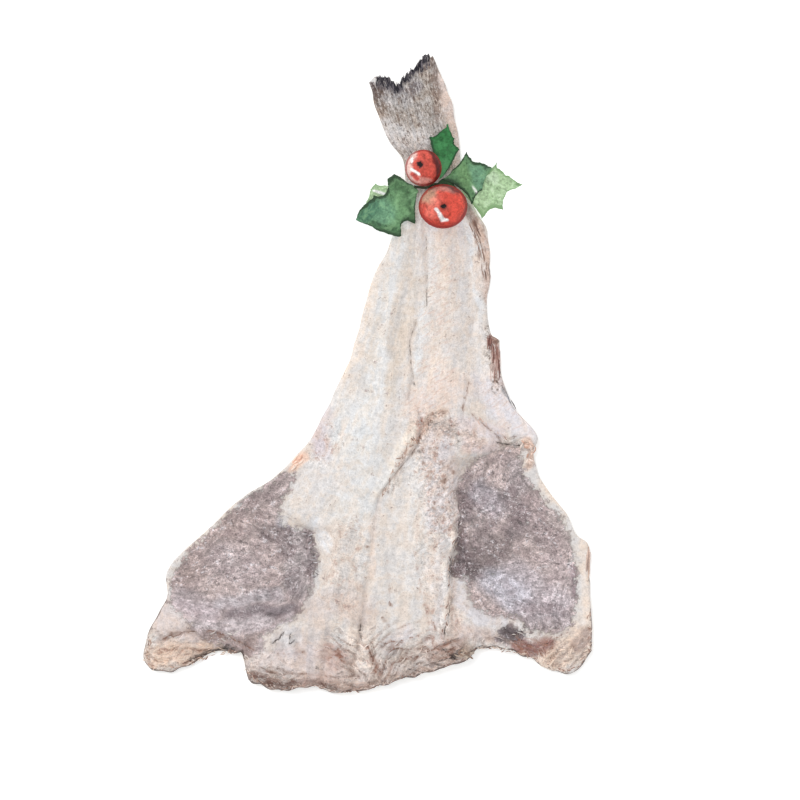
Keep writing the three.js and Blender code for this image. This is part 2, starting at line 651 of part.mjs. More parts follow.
function leafMesh(leaf) {
  const solid = new Solid();
  const side = sideOf(leaf);
  const { along, across } = leaf.cells;
  const above = margin(leaf.stem, leaf.above, side, along);
  const below = margin(leaf.stem, leaf.below, -side, along);
  const left = side > 0 ? above : below;
  const right = side > 0 ? below : above;
  const upper = [];
  const lower = [];
  for (let i = 0; i <= along; i += 1) {
    upper.push([]);
    lower.push([]);
    for (let j = 0; j <= across; j += 1) {
      const x = mix(left[i][0], right[i][0], j / across);
      const y = mix(left[i][1], right[i][1], j / across);
      const belly = Math.sin(Math.PI * i / along);
      const cupped = leaf.cup * belly * (2 * j / across - 1) ** 2;
      const curled = leaf.curl * smooth(CURL_FROM, 1, i / along);
      const z = bed(x, y) + leaf.layer * LEAF_PITCH + cupped + curled;
      lower[i].push(solid.corner(x, y, z));
      upper[i].push(solid.corner(x, y, z + LEAF_THICKNESS));
    }
  }
  for (let i = 0; i < along; i += 1) {
    for (let j = 0; j < across; j += 1) {
      solid.quad(upper[i][j], upper[i][j + 1], upper[i + 1][j + 1], upper[i + 1][j]);
      solid.quad(lower[i][j], lower[i + 1][j], lower[i + 1][j + 1], lower[i][j + 1]);
    }
    solid.quad(upper[i][0], upper[i + 1][0], lower[i + 1][0], lower[i][0]);
    solid.quad(upper[i][across], lower[i][across], lower[i + 1][across], upper[i + 1][across]);
  }
  return solid.mesh(leaf.name, { colour: leaf.colour, roughness: LEAF_ROUGHNESS });
}

// A berry is an ellipsoid whose pole, where the dimple is, leans to one side.
function berryMesh(berry) {
  const solid = new Solid();
  const leanX = berry.dimple[0] / berry.rx;
  const leanY = berry.dimple[1] / berry.ry;
  const pole = new THREE.Vector3(leanX, leanY, Math.sqrt(1 - leanX ** 2 - leanY ** 2));
  const lean = new THREE.Quaternion().setFromUnitVectors(new THREE.Vector3(0, 0, 1), pole);
  const corner = (angle, turn) => {
    const dent = 1 - DIMPLE_DEPTH * bell(angle, DIMPLE_ANGLE);
    const point = new THREE.Vector3(
      Math.sin(angle) * Math.cos(turn) * dent,
      Math.sin(angle) * Math.sin(turn) * dent,
      Math.cos(angle) * dent,
    ).applyQuaternion(lean);
    return solid.corner(
      berry.x + berry.rx * point.x,
      berry.y + berry.ry * point.y,
      berry.foot + berry.rz * (1 + point.z),
    );
  };
  const rings = BERRY_RINGS.map((angle) => {
    const ring = [];
    for (let k = 0; k < BERRY_SIDES; k += 1) ring.push(corner(angle, 2 * Math.PI * k / BERRY_SIDES));
    return ring;
  });
  const top = corner(0, 0);
  const foot = corner(Math.PI, 0);
  for (let k = 0; k < BERRY_SIDES; k += 1) {
    const next = (k + 1) % BERRY_SIDES;
    solid.triangle(top, rings[0][k], rings[0][next]);
    for (let i = 0; i + 1 < rings.length; i += 1) {
      solid.quad(rings[i][k], rings[i + 1][k], rings[i + 1][next], rings[i][next]);
    }
    const lowest = rings[rings.length - 1];
    solid.triangle(foot, lowest[next], lowest[k]);
  }
  return solid.mesh(berry.name, BERRY_FINISH);
}

function twigMesh() {
  const solid = new Solid();
  const above = TWIG.layer * LEAF_PITCH + TWIG.radius;
  const line = new THREE.CatmullRomCurve3(
    TWIG.path.map(([x, y]) => new THREE.Vector3(x, y, bed(x, y) + above)),
  );
  const rings = [];
  for (let i = 0; i <= TWIG.steps; i += 1) {
    const centre = line.getPoint(i / TWIG.steps);
    const ahead = line.getTangent(i / TWIG.steps);
    const across = new THREE.Vector3(ahead.y, -ahead.x, 0).normalize();
    const up = new THREE.Vector3().crossVectors(across, ahead);
    const ring = [];
    for (let k = 0; k < TWIG.sides; k += 1) {
      const turn = 2 * Math.PI * k / TWIG.sides;
      const point = centre.clone()
        .addScaledVector(across, TWIG.radius * Math.cos(turn))
        .addScaledVector(up, TWIG.radius * Math.sin(turn));
      ring.push(solid.corner(point.x, point.y, point.z));
    }
    rings.push({ centre, ring });
  }
  for (let k = 0; k < TWIG.sides; k += 1) {
    const next = (k + 1) % TWIG.sides;
    for (let i = 0; i < TWIG.steps; i += 1) {
      solid.quad(rings[i].ring[k], rings[i + 1].ring[k], rings[i + 1].ring[next], rings[i].ring[next]);
    }
    const first = rings[0];
    const last = rings[TWIG.steps];
    const start = solid.corner(first.centre.x, first.centre.y, first.centre.z);
    const end = solid.corner(last.centre.x, last.centre.y, last.centre.z);
    solid.triangle(start, first.ring[k], first.ring[next]);
    solid.triangle(end, last.ring[next], last.ring[k]);
  }
  return solid.mesh('twig', TWIG_FINISH);
}

// ------------------------------------------------------------ the whole

const sprig = new THREE.Group();
for (const leaf of LEAVES) sprig.add(leafMesh(leaf));
for (const berry of BERRIES) sprig.add(berryMesh(berry));
sprig.add(twigMesh());

const model = new THREE.Group();
model.add(fishMesh(), sprig);

// Stand it on z = 0 with the middle of its plan at the origin.
const extent = new THREE.Box3().setFromObject(model, true);
const middle = extent.getCenter(new THREE.Vector3());
model.position.set(-middle.x, -middle.y, -extent.min.z);

const group = new THREE.Group();
group.add(model);

export default group;
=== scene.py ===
"""Salted dried cod, split, opened flat and dried, with a sprig of holly on its tail stalk.

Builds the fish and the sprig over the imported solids, in metres, in the row frame: the tail
points to +Y, the cut flesh faces +Z. Shapes are drawn in the fish's own plan, which
place_of_plan() then sets over the solids.
"""

import math

import bmesh
import bpy
import numpy as np
from bpy.props import FloatProperty, FloatVectorProperty, IntProperty, PointerProperty
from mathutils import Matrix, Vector


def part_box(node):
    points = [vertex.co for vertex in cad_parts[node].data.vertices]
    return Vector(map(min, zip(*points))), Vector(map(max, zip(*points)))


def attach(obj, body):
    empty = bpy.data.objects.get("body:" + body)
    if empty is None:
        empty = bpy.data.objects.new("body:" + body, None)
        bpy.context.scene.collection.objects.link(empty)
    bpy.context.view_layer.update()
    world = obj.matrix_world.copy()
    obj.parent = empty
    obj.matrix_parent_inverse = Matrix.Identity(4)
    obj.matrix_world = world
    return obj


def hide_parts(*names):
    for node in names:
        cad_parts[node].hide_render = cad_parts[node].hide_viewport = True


bl_info = {
    "name": "Salted dried cod",
    "version": (1, 0, 0),
    "blender": (4, 5, 0),
    "location": "View3D > Sidebar > Dried cod",
    "description": "Builds a split dried cod with a holly sprig, and the stage it lies on",
    "category": "Object",
}

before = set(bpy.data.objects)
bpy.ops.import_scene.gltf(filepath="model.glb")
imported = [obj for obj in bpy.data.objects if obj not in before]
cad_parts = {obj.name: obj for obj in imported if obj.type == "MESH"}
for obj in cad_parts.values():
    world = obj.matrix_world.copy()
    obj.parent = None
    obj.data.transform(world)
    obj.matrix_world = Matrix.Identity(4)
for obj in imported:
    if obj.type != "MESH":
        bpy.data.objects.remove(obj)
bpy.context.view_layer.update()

# ---------------------------------------------------------------- fish: outline

TAIL_CORNER_Y = (0.291, 0.289)
LOBE_CORNER_Y = (-0.291, -0.277)

# Both sides: (station along the fish, x of the edge there).
LEFT_SIDE = (
    (0.291, 0.0), (0.259, 0.009), (0.233, 0.02), (0.213, 0.034), (0.185, 0.037), (0.16, 0.032),
    (0.133, 0.022), (0.093, 0.004), (0.053, -0.008), (0.013, -0.019), (-0.027, -0.038), (-0.067, -0.058),
    (-0.082, -0.072), (-0.092, -0.082), (-0.107, -0.098), (-0.121, -0.122), (-0.155, -0.16),
    (-0.18, -0.187), (-0.193, -0.199), (-0.203, -0.203), (-0.218, -0.202), (-0.239, -0.21),
    (-0.263, -0.221), (-0.285, -0.225), (-0.291, -0.223),
)
RIGHT_SIDE = (
    (0.289, 0.076), (0.267, 0.083), (0.233, 0.09), (0.198, 0.092), (0.16, 0.108), (0.138, 0.119),
    (0.113, 0.121), (0.063, 0.118), (0.048, 0.12), (0.038, 0.123), (0.033, 0.131), (0.003, 0.131),
    (-0.017, 0.136), (-0.037, 0.146), (-0.065, 0.168), (-0.078, 0.163), (-0.097, 0.167), (-0.119, 0.18),
    (-0.143, 0.199), (-0.161, 0.207), (-0.171, 0.219), (-0.203, 0.22), (-0.239, 0.222), (-0.277, 0.222),
)

# Hind edge of the tail fin and front edge of the lobes and neck: (x, y).
TAIL_EDGE = (
    (0.0, 0.291), (0.007, 0.297), (0.02, 0.295), (0.028, 0.288), (0.033, 0.295), (0.045, 0.305),
    (0.057, 0.318), (0.063, 0.317), (0.069, 0.304), (0.076, 0.289),
)
HEAD_EDGE = (
    (-0.223, -0.291), (-0.217, -0.296), (-0.199, -0.297), (-0.175, -0.289), (-0.151, -0.279),
    (-0.128, -0.278), (-0.12, -0.305), (-0.103, -0.313), (-0.085, -0.316), (-0.061, -0.312),
    (-0.031, -0.319), (-0.013, -0.318), (0.005, -0.313), (0.053, -0.299), (0.08, -0.291), (0.098, -0.284),
    (0.108, -0.276), (0.119, -0.273), (0.161, -0.284), (0.185, -0.297), (0.196, -0.299), (0.206, -0.297),
    (0.222, -0.277),
)
TAIL_WIDTH = 0.076
TAIL_BLEND = 0.15
HEAD_BLEND = 0.2

# Raggedness of the outline: height, length and seed.
RAGGED_LEFT = (0.0011, 0.015, 31)
RAGGED_RIGHT = (0.0011, 0.015, 37)
RAGGED_HEAD = (0.0018, 0.009, 41)
RAGGED_CORNER = 0.012

# Fin rays on the tail.
RAY_PITCH = 0.0044
RAY_RIDGE = 0.00045
RAY_LEAN = -0.35
RAY_TIP_MEAN = 0.0015
RAY_TIP_SPREAD = 0.0011
RAY_TIP_SEED = 5
RAYS_FROM = 0.006
RAYS_TO = 0.066
RAYS_FADE = 0.004

# ---------------------------------------------------------------- fish: guide lines

# Outer edge of the left loin, the split, and outer edge of the right loin: (y, x).
LEFT_LOIN = (
    (0.291, 0.018), (0.19, 0.048), (0.113, 0.032), (0.033, 0.005), (-0.027, -0.015), (-0.067, -0.042),
    (-0.093, -0.066), (-0.119, -0.082), (-0.135, -0.087), (-0.149, -0.077), (-0.16, -0.057),
    (-0.189, -0.052), (-0.21, -0.059), (-0.235, -0.066), (-0.249, -0.088), (-0.265, -0.11),
    (-0.291, -0.122),
)
SPLIT = (
    (0.291, 0.037), (0.23, 0.056), (0.19, 0.063), (0.141, 0.055), (0.073, 0.058), (0.032, 0.041),
    (-0.002, 0.043), (-0.025, 0.043), (-0.049, 0.052), (-0.067, 0.049), (-0.102, 0.024), (-0.125, 0.009),
    (-0.187, 0.001), (-0.257, -0.008), (-0.291, -0.016),
)
RIGHT_LOIN = (
    (0.289, 0.057), (0.19, 0.078), (0.113, 0.098), (0.033, 0.103), (-0.007, 0.103), (-0.04, 0.114),
    (-0.066, 0.131), (-0.079, 0.12), (-0.092, 0.095), (-0.112, 0.088), (-0.162, 0.088), (-0.187, 0.08),
    (-0.227, 0.082), (-0.262, 0.08), (-0.277, 0.098),
)
GUIDE_HALF = 0.0016
# The line that the grain of the flesh follows, smoother than the split: (y, x).
GRAIN_LINE = (
    (0.291, 0.037), (0.23, 0.056), (0.19, 0.063), (0.1, 0.058), (0.01, 0.048), (-0.07, 0.036),
    (-0.16, 0.01), (-0.25, -0.006), (-0.291, -0.012),
)

# ---------------------------------------------------------------- fish: thickness

LEFT_WALL = (
    (0.319, 0.0022), (0.25, 0.003), (0.2, 0.0045), (0.1, 0.005), (0.0, 0.006), (-0.07, 0.008),
    (-0.092, 0.007), (-0.104, 0.005), (-0.215, 0.005), (-0.236, 0.008), (-0.265, 0.011), (-0.3, 0.008),
)
RIGHT_WALL = (
    (0.319, 0.0022), (0.25, 0.003), (0.2, 0.0045), (0.1, 0.005), (0.04, 0.0045), (0.01, 0.0045),
    (-0.015, 0.008), (-0.04, 0.011), (-0.066, 0.012), (-0.079, 0.006), (-0.086, 0.005), (-0.235, 0.005),
    (-0.255, 0.008), (-0.277, 0.011), (-0.3, 0.008),
)
LOIN_RISE = (
    (0.3, 0.0), (0.262, 0.0015), (0.235, 0.005), (0.205, 0.008), (0.15, 0.009), (0.1, 0.01),
    (0.04, 0.012), (-0.03, 0.015), (-0.09, 0.017), (-0.18, 0.018), (-0.25, 0.017), (-0.3, 0.012),
    (-0.32, 0.008),
)
LEFT_SLOPE = (
    (0.3, 0.016), (0.19, 0.012), (0.1, 0.024), (0.0, 0.028), (-0.06, 0.024), (-0.09, 0.014),
    (-0.105, 0.009), (-0.235, 0.009), (-0.265, 0.004), (-0.32, 0.004),
)
RIGHT_SLOPE = (
    (0.3, 0.016), (0.19, 0.012), (0.1, 0.02), (0.02, 0.016), (-0.02, 0.016), (-0.06, 0.02),
    (-0.08, 0.008), (-0.14, 0.009), (-0.162, 0.003), (-0.32, 0.003),
)
LEFT_LOIN_EDGE = (
    (0.3, 0.85), (0.0, 0.8), (-0.06, 0.55), (-0.105, 0.16), (-0.235, 0.16), (-0.265, 0.5), (-0.32, 0.5),
)
RIGHT_LOIN_EDGE = (
    (0.3, 0.85), (0.0, 0.8), (-0.05, 0.6), (-0.08, 0.3), (-0.14, 0.24), (-0.165, 0.52), (-0.32, 0.52),
)
LOIN_SHOULDER = 0.55
SPLIT_DEPTH = (
    (0.24, 0.0), (0.2, 0.001), (0.06, 0.0011), (-0.06, 0.001), (-0.12, 0.0012), (-0.2, 0.002),
    (-0.32, 0.003),
)
SPLIT_HALF = 0.0032
CUT_STEP = ((-0.03, 0.0), (-0.048, 0.0034), (-0.11, 0.0036), (-0.14, 0.0014), (-0.19, 0.0))
CUT_STEP_REACH = 0.034

WALL_LIFT = 0.0036
WALL_LIFT_NONE = 0.060
WALL_LIFT_FULL = -0.080
LIFT_WAVE_LENGTH = 0.074
LIFT_WAVE_SHARE = 0.4
TAIL_LIFT = 0.005
TAIL_LIFT_FROM = 0.190
GROUND_MARGIN = 0.012

RIM_ROUND = 0.0032
NECK_ROUND = 0.007
NECK_NONE = -0.150
NECK_FULL = -0.250
RIM_SHARE = 0.4
LEAST_THICKNESS = 0.0016

SKIN_CREST = ((0.094, 0.143), (0.101, 0.111), (0.108, 0.074), (0.11, 0.04))
SKIN_CREST_RISE = 0.0026
SKIN_CREST_HALF = 0.0045

# Furrows and knobs of the solid: points, depth or height, half width.
FURROWS = (
    (((-0.206, -0.263), (-0.194, -0.26), (-0.178, -0.257)), 0.0032, 0.005),
    (((-0.159, -0.262), (-0.13, -0.268), (-0.112, -0.272)), 0.0026, 0.005),
    (((-0.093, -0.258), (-0.09, -0.274)), 0.003, 0.004),
    (((-0.073, -0.258), (-0.072, -0.276)), 0.0026, 0.004),
    (((-0.04, -0.262), (-0.046, -0.3)), 0.003, 0.005),
    (((-0.008, -0.248), (-0.01, -0.285)), 0.004, 0.005),
    (((0.028, -0.25), (0.02, -0.292)), 0.0026, 0.005),
    (((0.062, -0.262), (0.044, -0.28)), 0.0024, 0.005),
    (((0.096, -0.214), (0.112, -0.243), (0.152, -0.248), (0.164, -0.259), (0.196, -0.258)), 0.0018,
     0.005),
    (((0.19, -0.283), (0.204, -0.29)), 0.002, 0.005),
    (((0.133, -0.071), (0.151, -0.074)), 0.003, 0.004),
)
KNOBS = (
    ((-0.111, -0.3), 0.003, 0.009), ((-0.208, -0.283), 0.0025, 0.016), ((0.097, -0.276), 0.003, 0.009),
    ((0.205, -0.272), 0.0025, 0.017), ((0.062, -0.125), 0.002, 0.026), ((-0.024, -0.2), 0.0016, 0.026),
)

# Coarse relief of the solid: height, length along, width across, seed.
FLAKE = (0.0013, 0.046, 0.013, 3)
FLAKE_ON_WALLS = 0.35
WRINKLE = (0.0014, 0.06, 0.017, 11)
WRINKLE_SLANT = 0.3
WRINKLES_NONE = -0.070
WRINKLES_FULL = -0.110
CRAG = (0.004, 0.02, 0.017, 23)
CRAGS_NONE = -0.235
CRAGS_FULL = -0.290

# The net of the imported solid, and the finer one of the dressed fish.
SOLID_NET = {"bands": (13, 12, 12, 13), "rows": 68, "rims": (0.0016, 0.0048), "crowd": 0.0}
FINE_NET = {
    "bands": (54, 56, 50, 54),
    "rows": 300,
    "rims": (0.0006, 0.0014, 0.0024, 0.0036, 0.0048),
    "crowd": 0.18,
}
WALL_RINGS = (0.33, 0.67)
WALL_BULGE = 0.18

# ---------------------------------------------------------------- fish: fine relief

# Thin creases cut into the flesh: points, depth, half width.
CREASES = (
    (((0.057, 0.135), (0.058, 0.067)), 0.001, 0.0016),
    (((0.047, 0.05), (0.041, 0.029), (0.042, 0.012), (0.044, -0.004), (0.039, -0.026)), 0.0016, 0.0018),
    (((0.075, -0.039), (0.057, -0.047), (0.052, -0.06), (0.041, -0.07), (0.03, -0.087)), 0.002, 0.0022),
    (((0.1, -0.009), (0.094, -0.034), (0.093, -0.046)), 0.0012, 0.0018),
    (((0.103, -0.041), (0.13, -0.064)), 0.001, 0.0018),
    (((-0.206, -0.266), (-0.194, -0.261), (-0.173, -0.258)), 0.0022, 0.0018),
    (((-0.085, -0.258), (-0.095, -0.269)), 0.0022, 0.0016),
    (((-0.08, -0.261), (-0.072, -0.269)), 0.002, 0.0015),
    (((-0.008, -0.251), (-0.009, -0.264)), 0.0018, 0.0016),
    (((-0.001, -0.273), (0.011, -0.3)), 0.0024, 0.0022),
    (((0.044, -0.175), (0.051, -0.208)), 0.0008, 0.0016),
    (((0.017, -0.182), (0.021, -0.232)), 0.0009, 0.0015),
    (((0.082, -0.19), (0.08, -0.214), (0.081, -0.232), (0.076, -0.254)), 0.003, 0.002),
    (((-0.02, -0.12), (-0.012, -0.2)), 0.0006, 0.002),
)
# Raised folds: points, height, half width.
FOLDS = (
    (((0.052, -0.157), (0.07, -0.16), (0.087, -0.165)), 0.001, 0.0022),
    (((0.065, -0.215), (0.063, -0.24), (0.072, -0.262)), 0.002, 0.0045),
    (((0.029, -0.252), (0.039, -0.258)), 0.0012, 0.0025),
    (((0.02, -0.268), (0.045, -0.262), (0.06, -0.27)), 0.0016, 0.003),
    (((-0.2, -0.274), (-0.17, -0.272)), 0.0014, 0.004),
    (((0.18, -0.268), (0.2, -0.262)), 0.0014, 0.004),
    (((-0.008, -0.228), (-0.009, -0.286)), 0.0014, 0.004),
    (((0.09, -0.275), (0.1, -0.279)), 0.0024, 0.0045),
)
# Fine noise relief: height, length along, width across, seed.
FIBRE = (0.00016, 0.03, 0.004, 51)
PEBBLE = (0.0003, 0.0058, 0.0058, 57)
RIPPLE = (0.00035, 0.026, 0.0075, 61)
# Lines that the fibres of the linings and the folds of the head end run along.
GUIDES = (
    ((-0.202, -0.238), (-0.15, -0.251), (-0.105, -0.254), (-0.07, -0.241), (-0.055, -0.21),
     (-0.052, -0.165)),
    ((-0.08, -0.095), (-0.121, -0.121), (-0.16, -0.155), (-0.199, -0.193)),
    ((0.097, -0.092), (0.088, -0.13), (0.087, -0.175), (0.098, -0.215), (0.115, -0.241), (0.155, -0.252)),
    ((0.157, -0.105), (0.187, -0.138), (0.207, -0.18), (0.212, -0.208), (0.205, -0.24)),
    ((0.1, -0.19), (0.15, -0.188), (0.195, -0.194)),
    ((-0.188, -0.206), (-0.15, -0.194), (-0.1, -0.198), (-0.066, -0.184)),
    ((-0.128, -0.152), (-0.096, -0.16), (-0.07, -0.166)),
    ((0.11, -0.13), (0.14, -0.142), (0.176, -0.156)),
    ((0.002, -0.308), (0.012, -0.282), (0.03, -0.262), (0.06, -0.252), (0.086, -0.258)),
    ((-0.116, -0.306), (-0.085, -0.316), (-0.05, -0.312), (0.0, -0.313)),
    ((-0.116, -0.276), (-0.07, -0.266), (-0.03, -0.272), (-0.008, -0.292)),
    ((0.063, -0.212), (0.065, -0.24), (0.074, -0.262)),
    ((-0.224, -0.276), (-0.19, -0.268), (-0.15, -0.262), (-0.118, -0.274)),
    ((0.178, -0.294), (0.195, -0.28), (0.219, -0.262)),
    ((0.118, -0.268), (0.15, -0.276), (0.168, -0.286)),
)
GUIDE_STEP = 0.0005
FOLD_PITCH = 0.0068
FOLD_RISE = 0.0013
FOLD_DRIFT = (0.8, 0.013, 67)
KNOT_RELIEF = (0.0007, 0.0062, 0.005, 69)
SHREDS_NONE = -0.238
SHREDS_FULL = -0.282
SHREDS_ON_LOBES = 0.75
# Share of the even ridges of the tail fin that the dressed fish evens out, and its own rays.
RAYS_EVENED = 0.8
RAY_RELIEF = (0.0002, 0.02, 0.0024, 63)

# ---------------------------------------------------------------- fish: colours of places

# The thin grey membranes that line the belly walls.
LEFT_MEMBRANE = (
    (-0.076, -0.099), (-0.084, -0.099), (-0.093, -0.105), (-0.105, -0.1135), (-0.121, -0.123),
    (-0.133, -0.1335), (-0.148, -0.146), (-0.159, -0.158), (-0.173, -0.17), (-0.184, -0.1825),
    (-0.19, -0.192), (-0.196, -0.203), (-0.1985, -0.215), (-0.198, -0.224), (-0.199, -0.231),
    (-0.193, -0.238), (-0.184, -0.244), (-0.176, -0.258), (-0.156, -0.27), (-0.134, -0.278),
    (-0.118, -0.284), (-0.107, -0.276), (-0.106, -0.262), (-0.092, -0.252), (-0.074, -0.243),
    (-0.065, -0.231), (-0.059, -0.22), (-0.059, -0.211), (-0.055, -0.203), (-0.052, -0.191),
    (-0.053, -0.181), (-0.055, -0.173), (-0.058, -0.161), (-0.062, -0.155), (-0.072, -0.156),
    (-0.082, -0.153), (-0.09, -0.148), (-0.089, -0.14), (-0.087, -0.13), (-0.083, -0.122),
    (-0.077, -0.112), (-0.073, -0.103),
)
RIGHT_MEMBRANE = (
    (0.135, -0.072), (0.152, -0.073), (0.153, -0.093), (0.157, -0.105), (0.167, -0.115), (0.175, -0.13),
    (0.187, -0.138), (0.197, -0.152), (0.202, -0.165), (0.203, -0.18), (0.206, -0.193), (0.208, -0.208),
    (0.208, -0.221), (0.206, -0.233), (0.204, -0.248), (0.193, -0.258), (0.182, -0.26), (0.17, -0.258),
    (0.155, -0.254), (0.152, -0.245), (0.142, -0.243), (0.127, -0.242), (0.114, -0.239), (0.105, -0.233),
    (0.1, -0.226), (0.098, -0.216), (0.098, -0.208), (0.096, -0.204), (0.089, -0.206), (0.081, -0.2),
    (0.087, -0.175), (0.089, -0.163), (0.087, -0.15), (0.088, -0.138), (0.087, -0.127), (0.088, -0.112),
    (0.094, -0.103), (0.1, -0.094), (0.109, -0.087), (0.119, -0.081), (0.128, -0.077),
)
# A small charred-looking scrap of lining at the front of the right wall.
LINING_SCRAP = (
    (0.128, -0.257), (0.135, -0.252), (0.147, -0.254), (0.156, -0.26), (0.15, -0.266), (0.138, -0.271),
    (0.129, -0.268),
)
MEMBRANE_RAMP = 0.012

# Places and widths of tints, lines, spots and fringes are in millimetres of the fish's plan.
MM = 0.001

# Local tints: points of a band, half width, colour (sRGB, 0 to 255), strength. A band has its
# full strength up to the first of these half widths, and none past the second.
BAND_FADE = (0.5, 1.5)
FLESH_TINTS = (
    (((16, 150), (-3, 80), (-20, 20), (-44, -30)), 10, (244, 231, 219), 0.8),
    (((37, 183), (29, 113), (14, 43), (3, -27), (-9, -67)), 13, (229, 227, 224), 0.7),
    (((45, 158), (33, 83), (23, 23)), 5, (204, 194, 185), 0.65),
    (((13, 60), (0, 10), (-12, -30)), 4, (214, 204, 194), 0.5),
    (((46, 93), (36, 43), (20, -20)), 5, (224, 211, 197), 0.55),
    (((64, 173), (62, 100), (55, 53), (47, 8)), 5, (238, 238, 237), 0.8),
    (((71, 133), (68, 73), (61, 13)), 10, (236, 223, 212), 0.7),
    (((70, 10), (62, -30)), 14, (241, 229, 220), 0.6),
    (((89, 143), (93, 73), (91, 23)), 12, (224, 216, 211), 0.6),
    (((93, 170), (100, 133), (108, 73), (113, 33)), 3.5, (238, 236, 235), 0.85),
    (((107, 150), (114, 130), (119, 105), (119, 70)), 4.5, (214, 186, 170), 0.8),
    (((98, 166), (106, 150)), 4, (146, 122, 110), 0.75),
    (((124, 34), (128, 18), (130, -8)), 4.2, (150, 114, 104), 0.95),
    (((116, -10), (134, -36), (153, -54)), 14, (234, 227, 228), 0.9),
    (((104, -50), (128, -62)), 8, (226, 214, 214), 0.8),
    (((56, -30), (86, -16)), 18, (233, 217, 209), 0.6),
    (((64, -50), (80, -55)), 9, (204, 188, 180), 0.7),
    (((62, -60), (56, -76)), 7, (208, 188, 176), 0.6),
    (((72, -68), (80, -90), (82, -120)), 11, (214, 200, 196), 0.6),
    (((92, -50), (106, -72)), 9, (216, 200, 197), 0.65),
    # Painted light that lifts the shade where the wall steps down.
    (((100, -72), (122, -75)), 8, (246, 226, 220), 0.85),
    (((75, -39), (58, -46), (53, -59), (40, -72), (30, -87)), 4.5, (226, 204, 188), 0.6),
    (((30, -87), (12, -119), (6, -145), (3, -168), (0, -200)), 3.5, (234, 212, 196), 0.5),
    (((47, -52), (33, -70), (22, -90), (8, -120)), 6, (250, 240, 228), 0.8),
    (((-44, -40), (-52, -60), (-46, -82)), 9, (216, 200, 203), 0.75),
    (((-19, -47), (-9, -97), (-19, -127)), 28, (232, 231, 229), 0.6),
    (((-40, -100), (-60, -120)), 20, (228, 222, 218), 0.6),
    (((-24, -167), (-29, -227)), 12, (216, 205, 197), 0.55),
    (((-110, -292), (-29, -297), (31, -300), (76, -282)), 18, (240, 225, 217), 0.85),
    (((-100, -272), (-82, -276)), 12, (234, 226, 222), 0.7),
    (((-100, -290), (-50, -286)), 12, (230, 216, 211), 0.7),
    (((-116, -304), (-85, -314), (-55, -309), (-20, -315), (4, -310)), 5.5, (184, 154, 140), 0.85),
    (((4, -310), (40, -300), (80, -288), (100, -280)), 4.5, (196, 174, 162), 0.8),
    (((-114, -304), (-103, -308)), 6, (122, 92, 84), 0.85),
    (((-46, -276), (-24, -280), (-34, -290)), 8, (198, 170, 160), 0.7),
    (((60, -282), (76, -276), (92, -269)), 6.5, (172, 138, 124), 0.62),
    (((22, -282), (44, -276)), 10, (240, 224, 212), 0.6),
    # Painted light that lifts the shade in the furrow at the neck.
    (((-12, -262), (-8, -284)), 10, (255, 242, 232), 0.9),
    (((-78, -262), (-62, -280)), 9, (206, 192, 188), 0.6),
    (((-50, -150), (-46, -172)), 7, (236, 236, 238), 0.7),
    (((108, 40), (114, 0)), 7, (244, 236, 230), 0.75),
    # Painted shadow under the lower edge of the left lobe.
    (((-184, -290), (-168, -283), (-150, -278), (-132, -278.5)), 3.8, (60, 50, 48), 0.95),
    (((-112, -308), (-85, -313), (-61, -309.5), (-34, -316)), 3.2, (112, 84, 74), 0.9),
    (((-178, -260), (-158, -266)), 4, (150, 116, 110), 0.8),
    (((-16, -212), (-4, -226)), 10, (212, 198, 190), 0.6),
    (((-70, -264), (-48, -256)), 10, (206, 192, 186), 0.55),
    (((107, 115), (112, 85)), 5, (246, 230, 218), 0.75),
    (((-56, -236), (-34, -226), (-8, -238)), 13, (212, 196, 188), 0.65),
    (((-70, -306), (-30, -302)), 7, (214, 190, 180), 0.6),
    (((-80, -276), (-55, -276)), 10, (224, 212, 210), 0.6),
    (((20, -272), (36, -260)), 8, (222, 214, 214), 0.7),
    (((-214, -227), (-206, -250), (-180, -257)), 12, (226, 210, 204), 0.8),
    (((-214, -285), (-169, -280)), 12, (250, 224, 204), 0.9),
    (((-150, -276), (-205, -272)), 6, (226, 200, 182), 0.7),
    (((186, -284), (210, -268)), 16, (250, 228, 210), 0.9),
    (((208, -270), (216, -260)), 8, (180, 158, 150), 0.8),
    (((176, -112), (191, -127), (213, -160), (218, -190), (219, -247)), 5, (238, 224, 212), 0.9),
    (((-77, -95), (-67, -85)), 6, (240, 206, 186), 0.85),
    (((155, -70), (162, -77), (157, -90)), 5, (236, 206, 188), 0.8),
    (((-103, -262), (-79, -264)), 9, (224, 218, 215), 0.85),
    (((66, -77), (71, -147)), 16, (235, 226, 225), 0.7),
    (((71, -187), (76, -247)), 14, (234, 224, 219), 0.7),
    # Painted highlights along the crest of the fold and the raised flap edge of the right loin.
    (((56, -157), (70, -158), (86, -160)), 2.2, (248, 239, 230), 0.8),
    (((85.5, -158), (83.5, -172), (78.5, -188), (77, -215), (76.5, -235), (71, -256)), 2.8,
     (252, 243, 235), 0.95),
    (((46, -97), (46, -207)), 12, (233, 227, 222), 0.7),
    (((90, -211), (91, -227), (111, -246), (146, -249)), 7, (224, 218, 219), 0.75),
    (((91, -257), (131, -266)), 8, (222, 206, 200), 0.8),
    (((148, -270), (164, -276), (180, -268)), 7.5, (150, 104, 98), 0.92),
    (((96, -275), (104, -280)), 6, (176, 156, 140), 0.8),
)
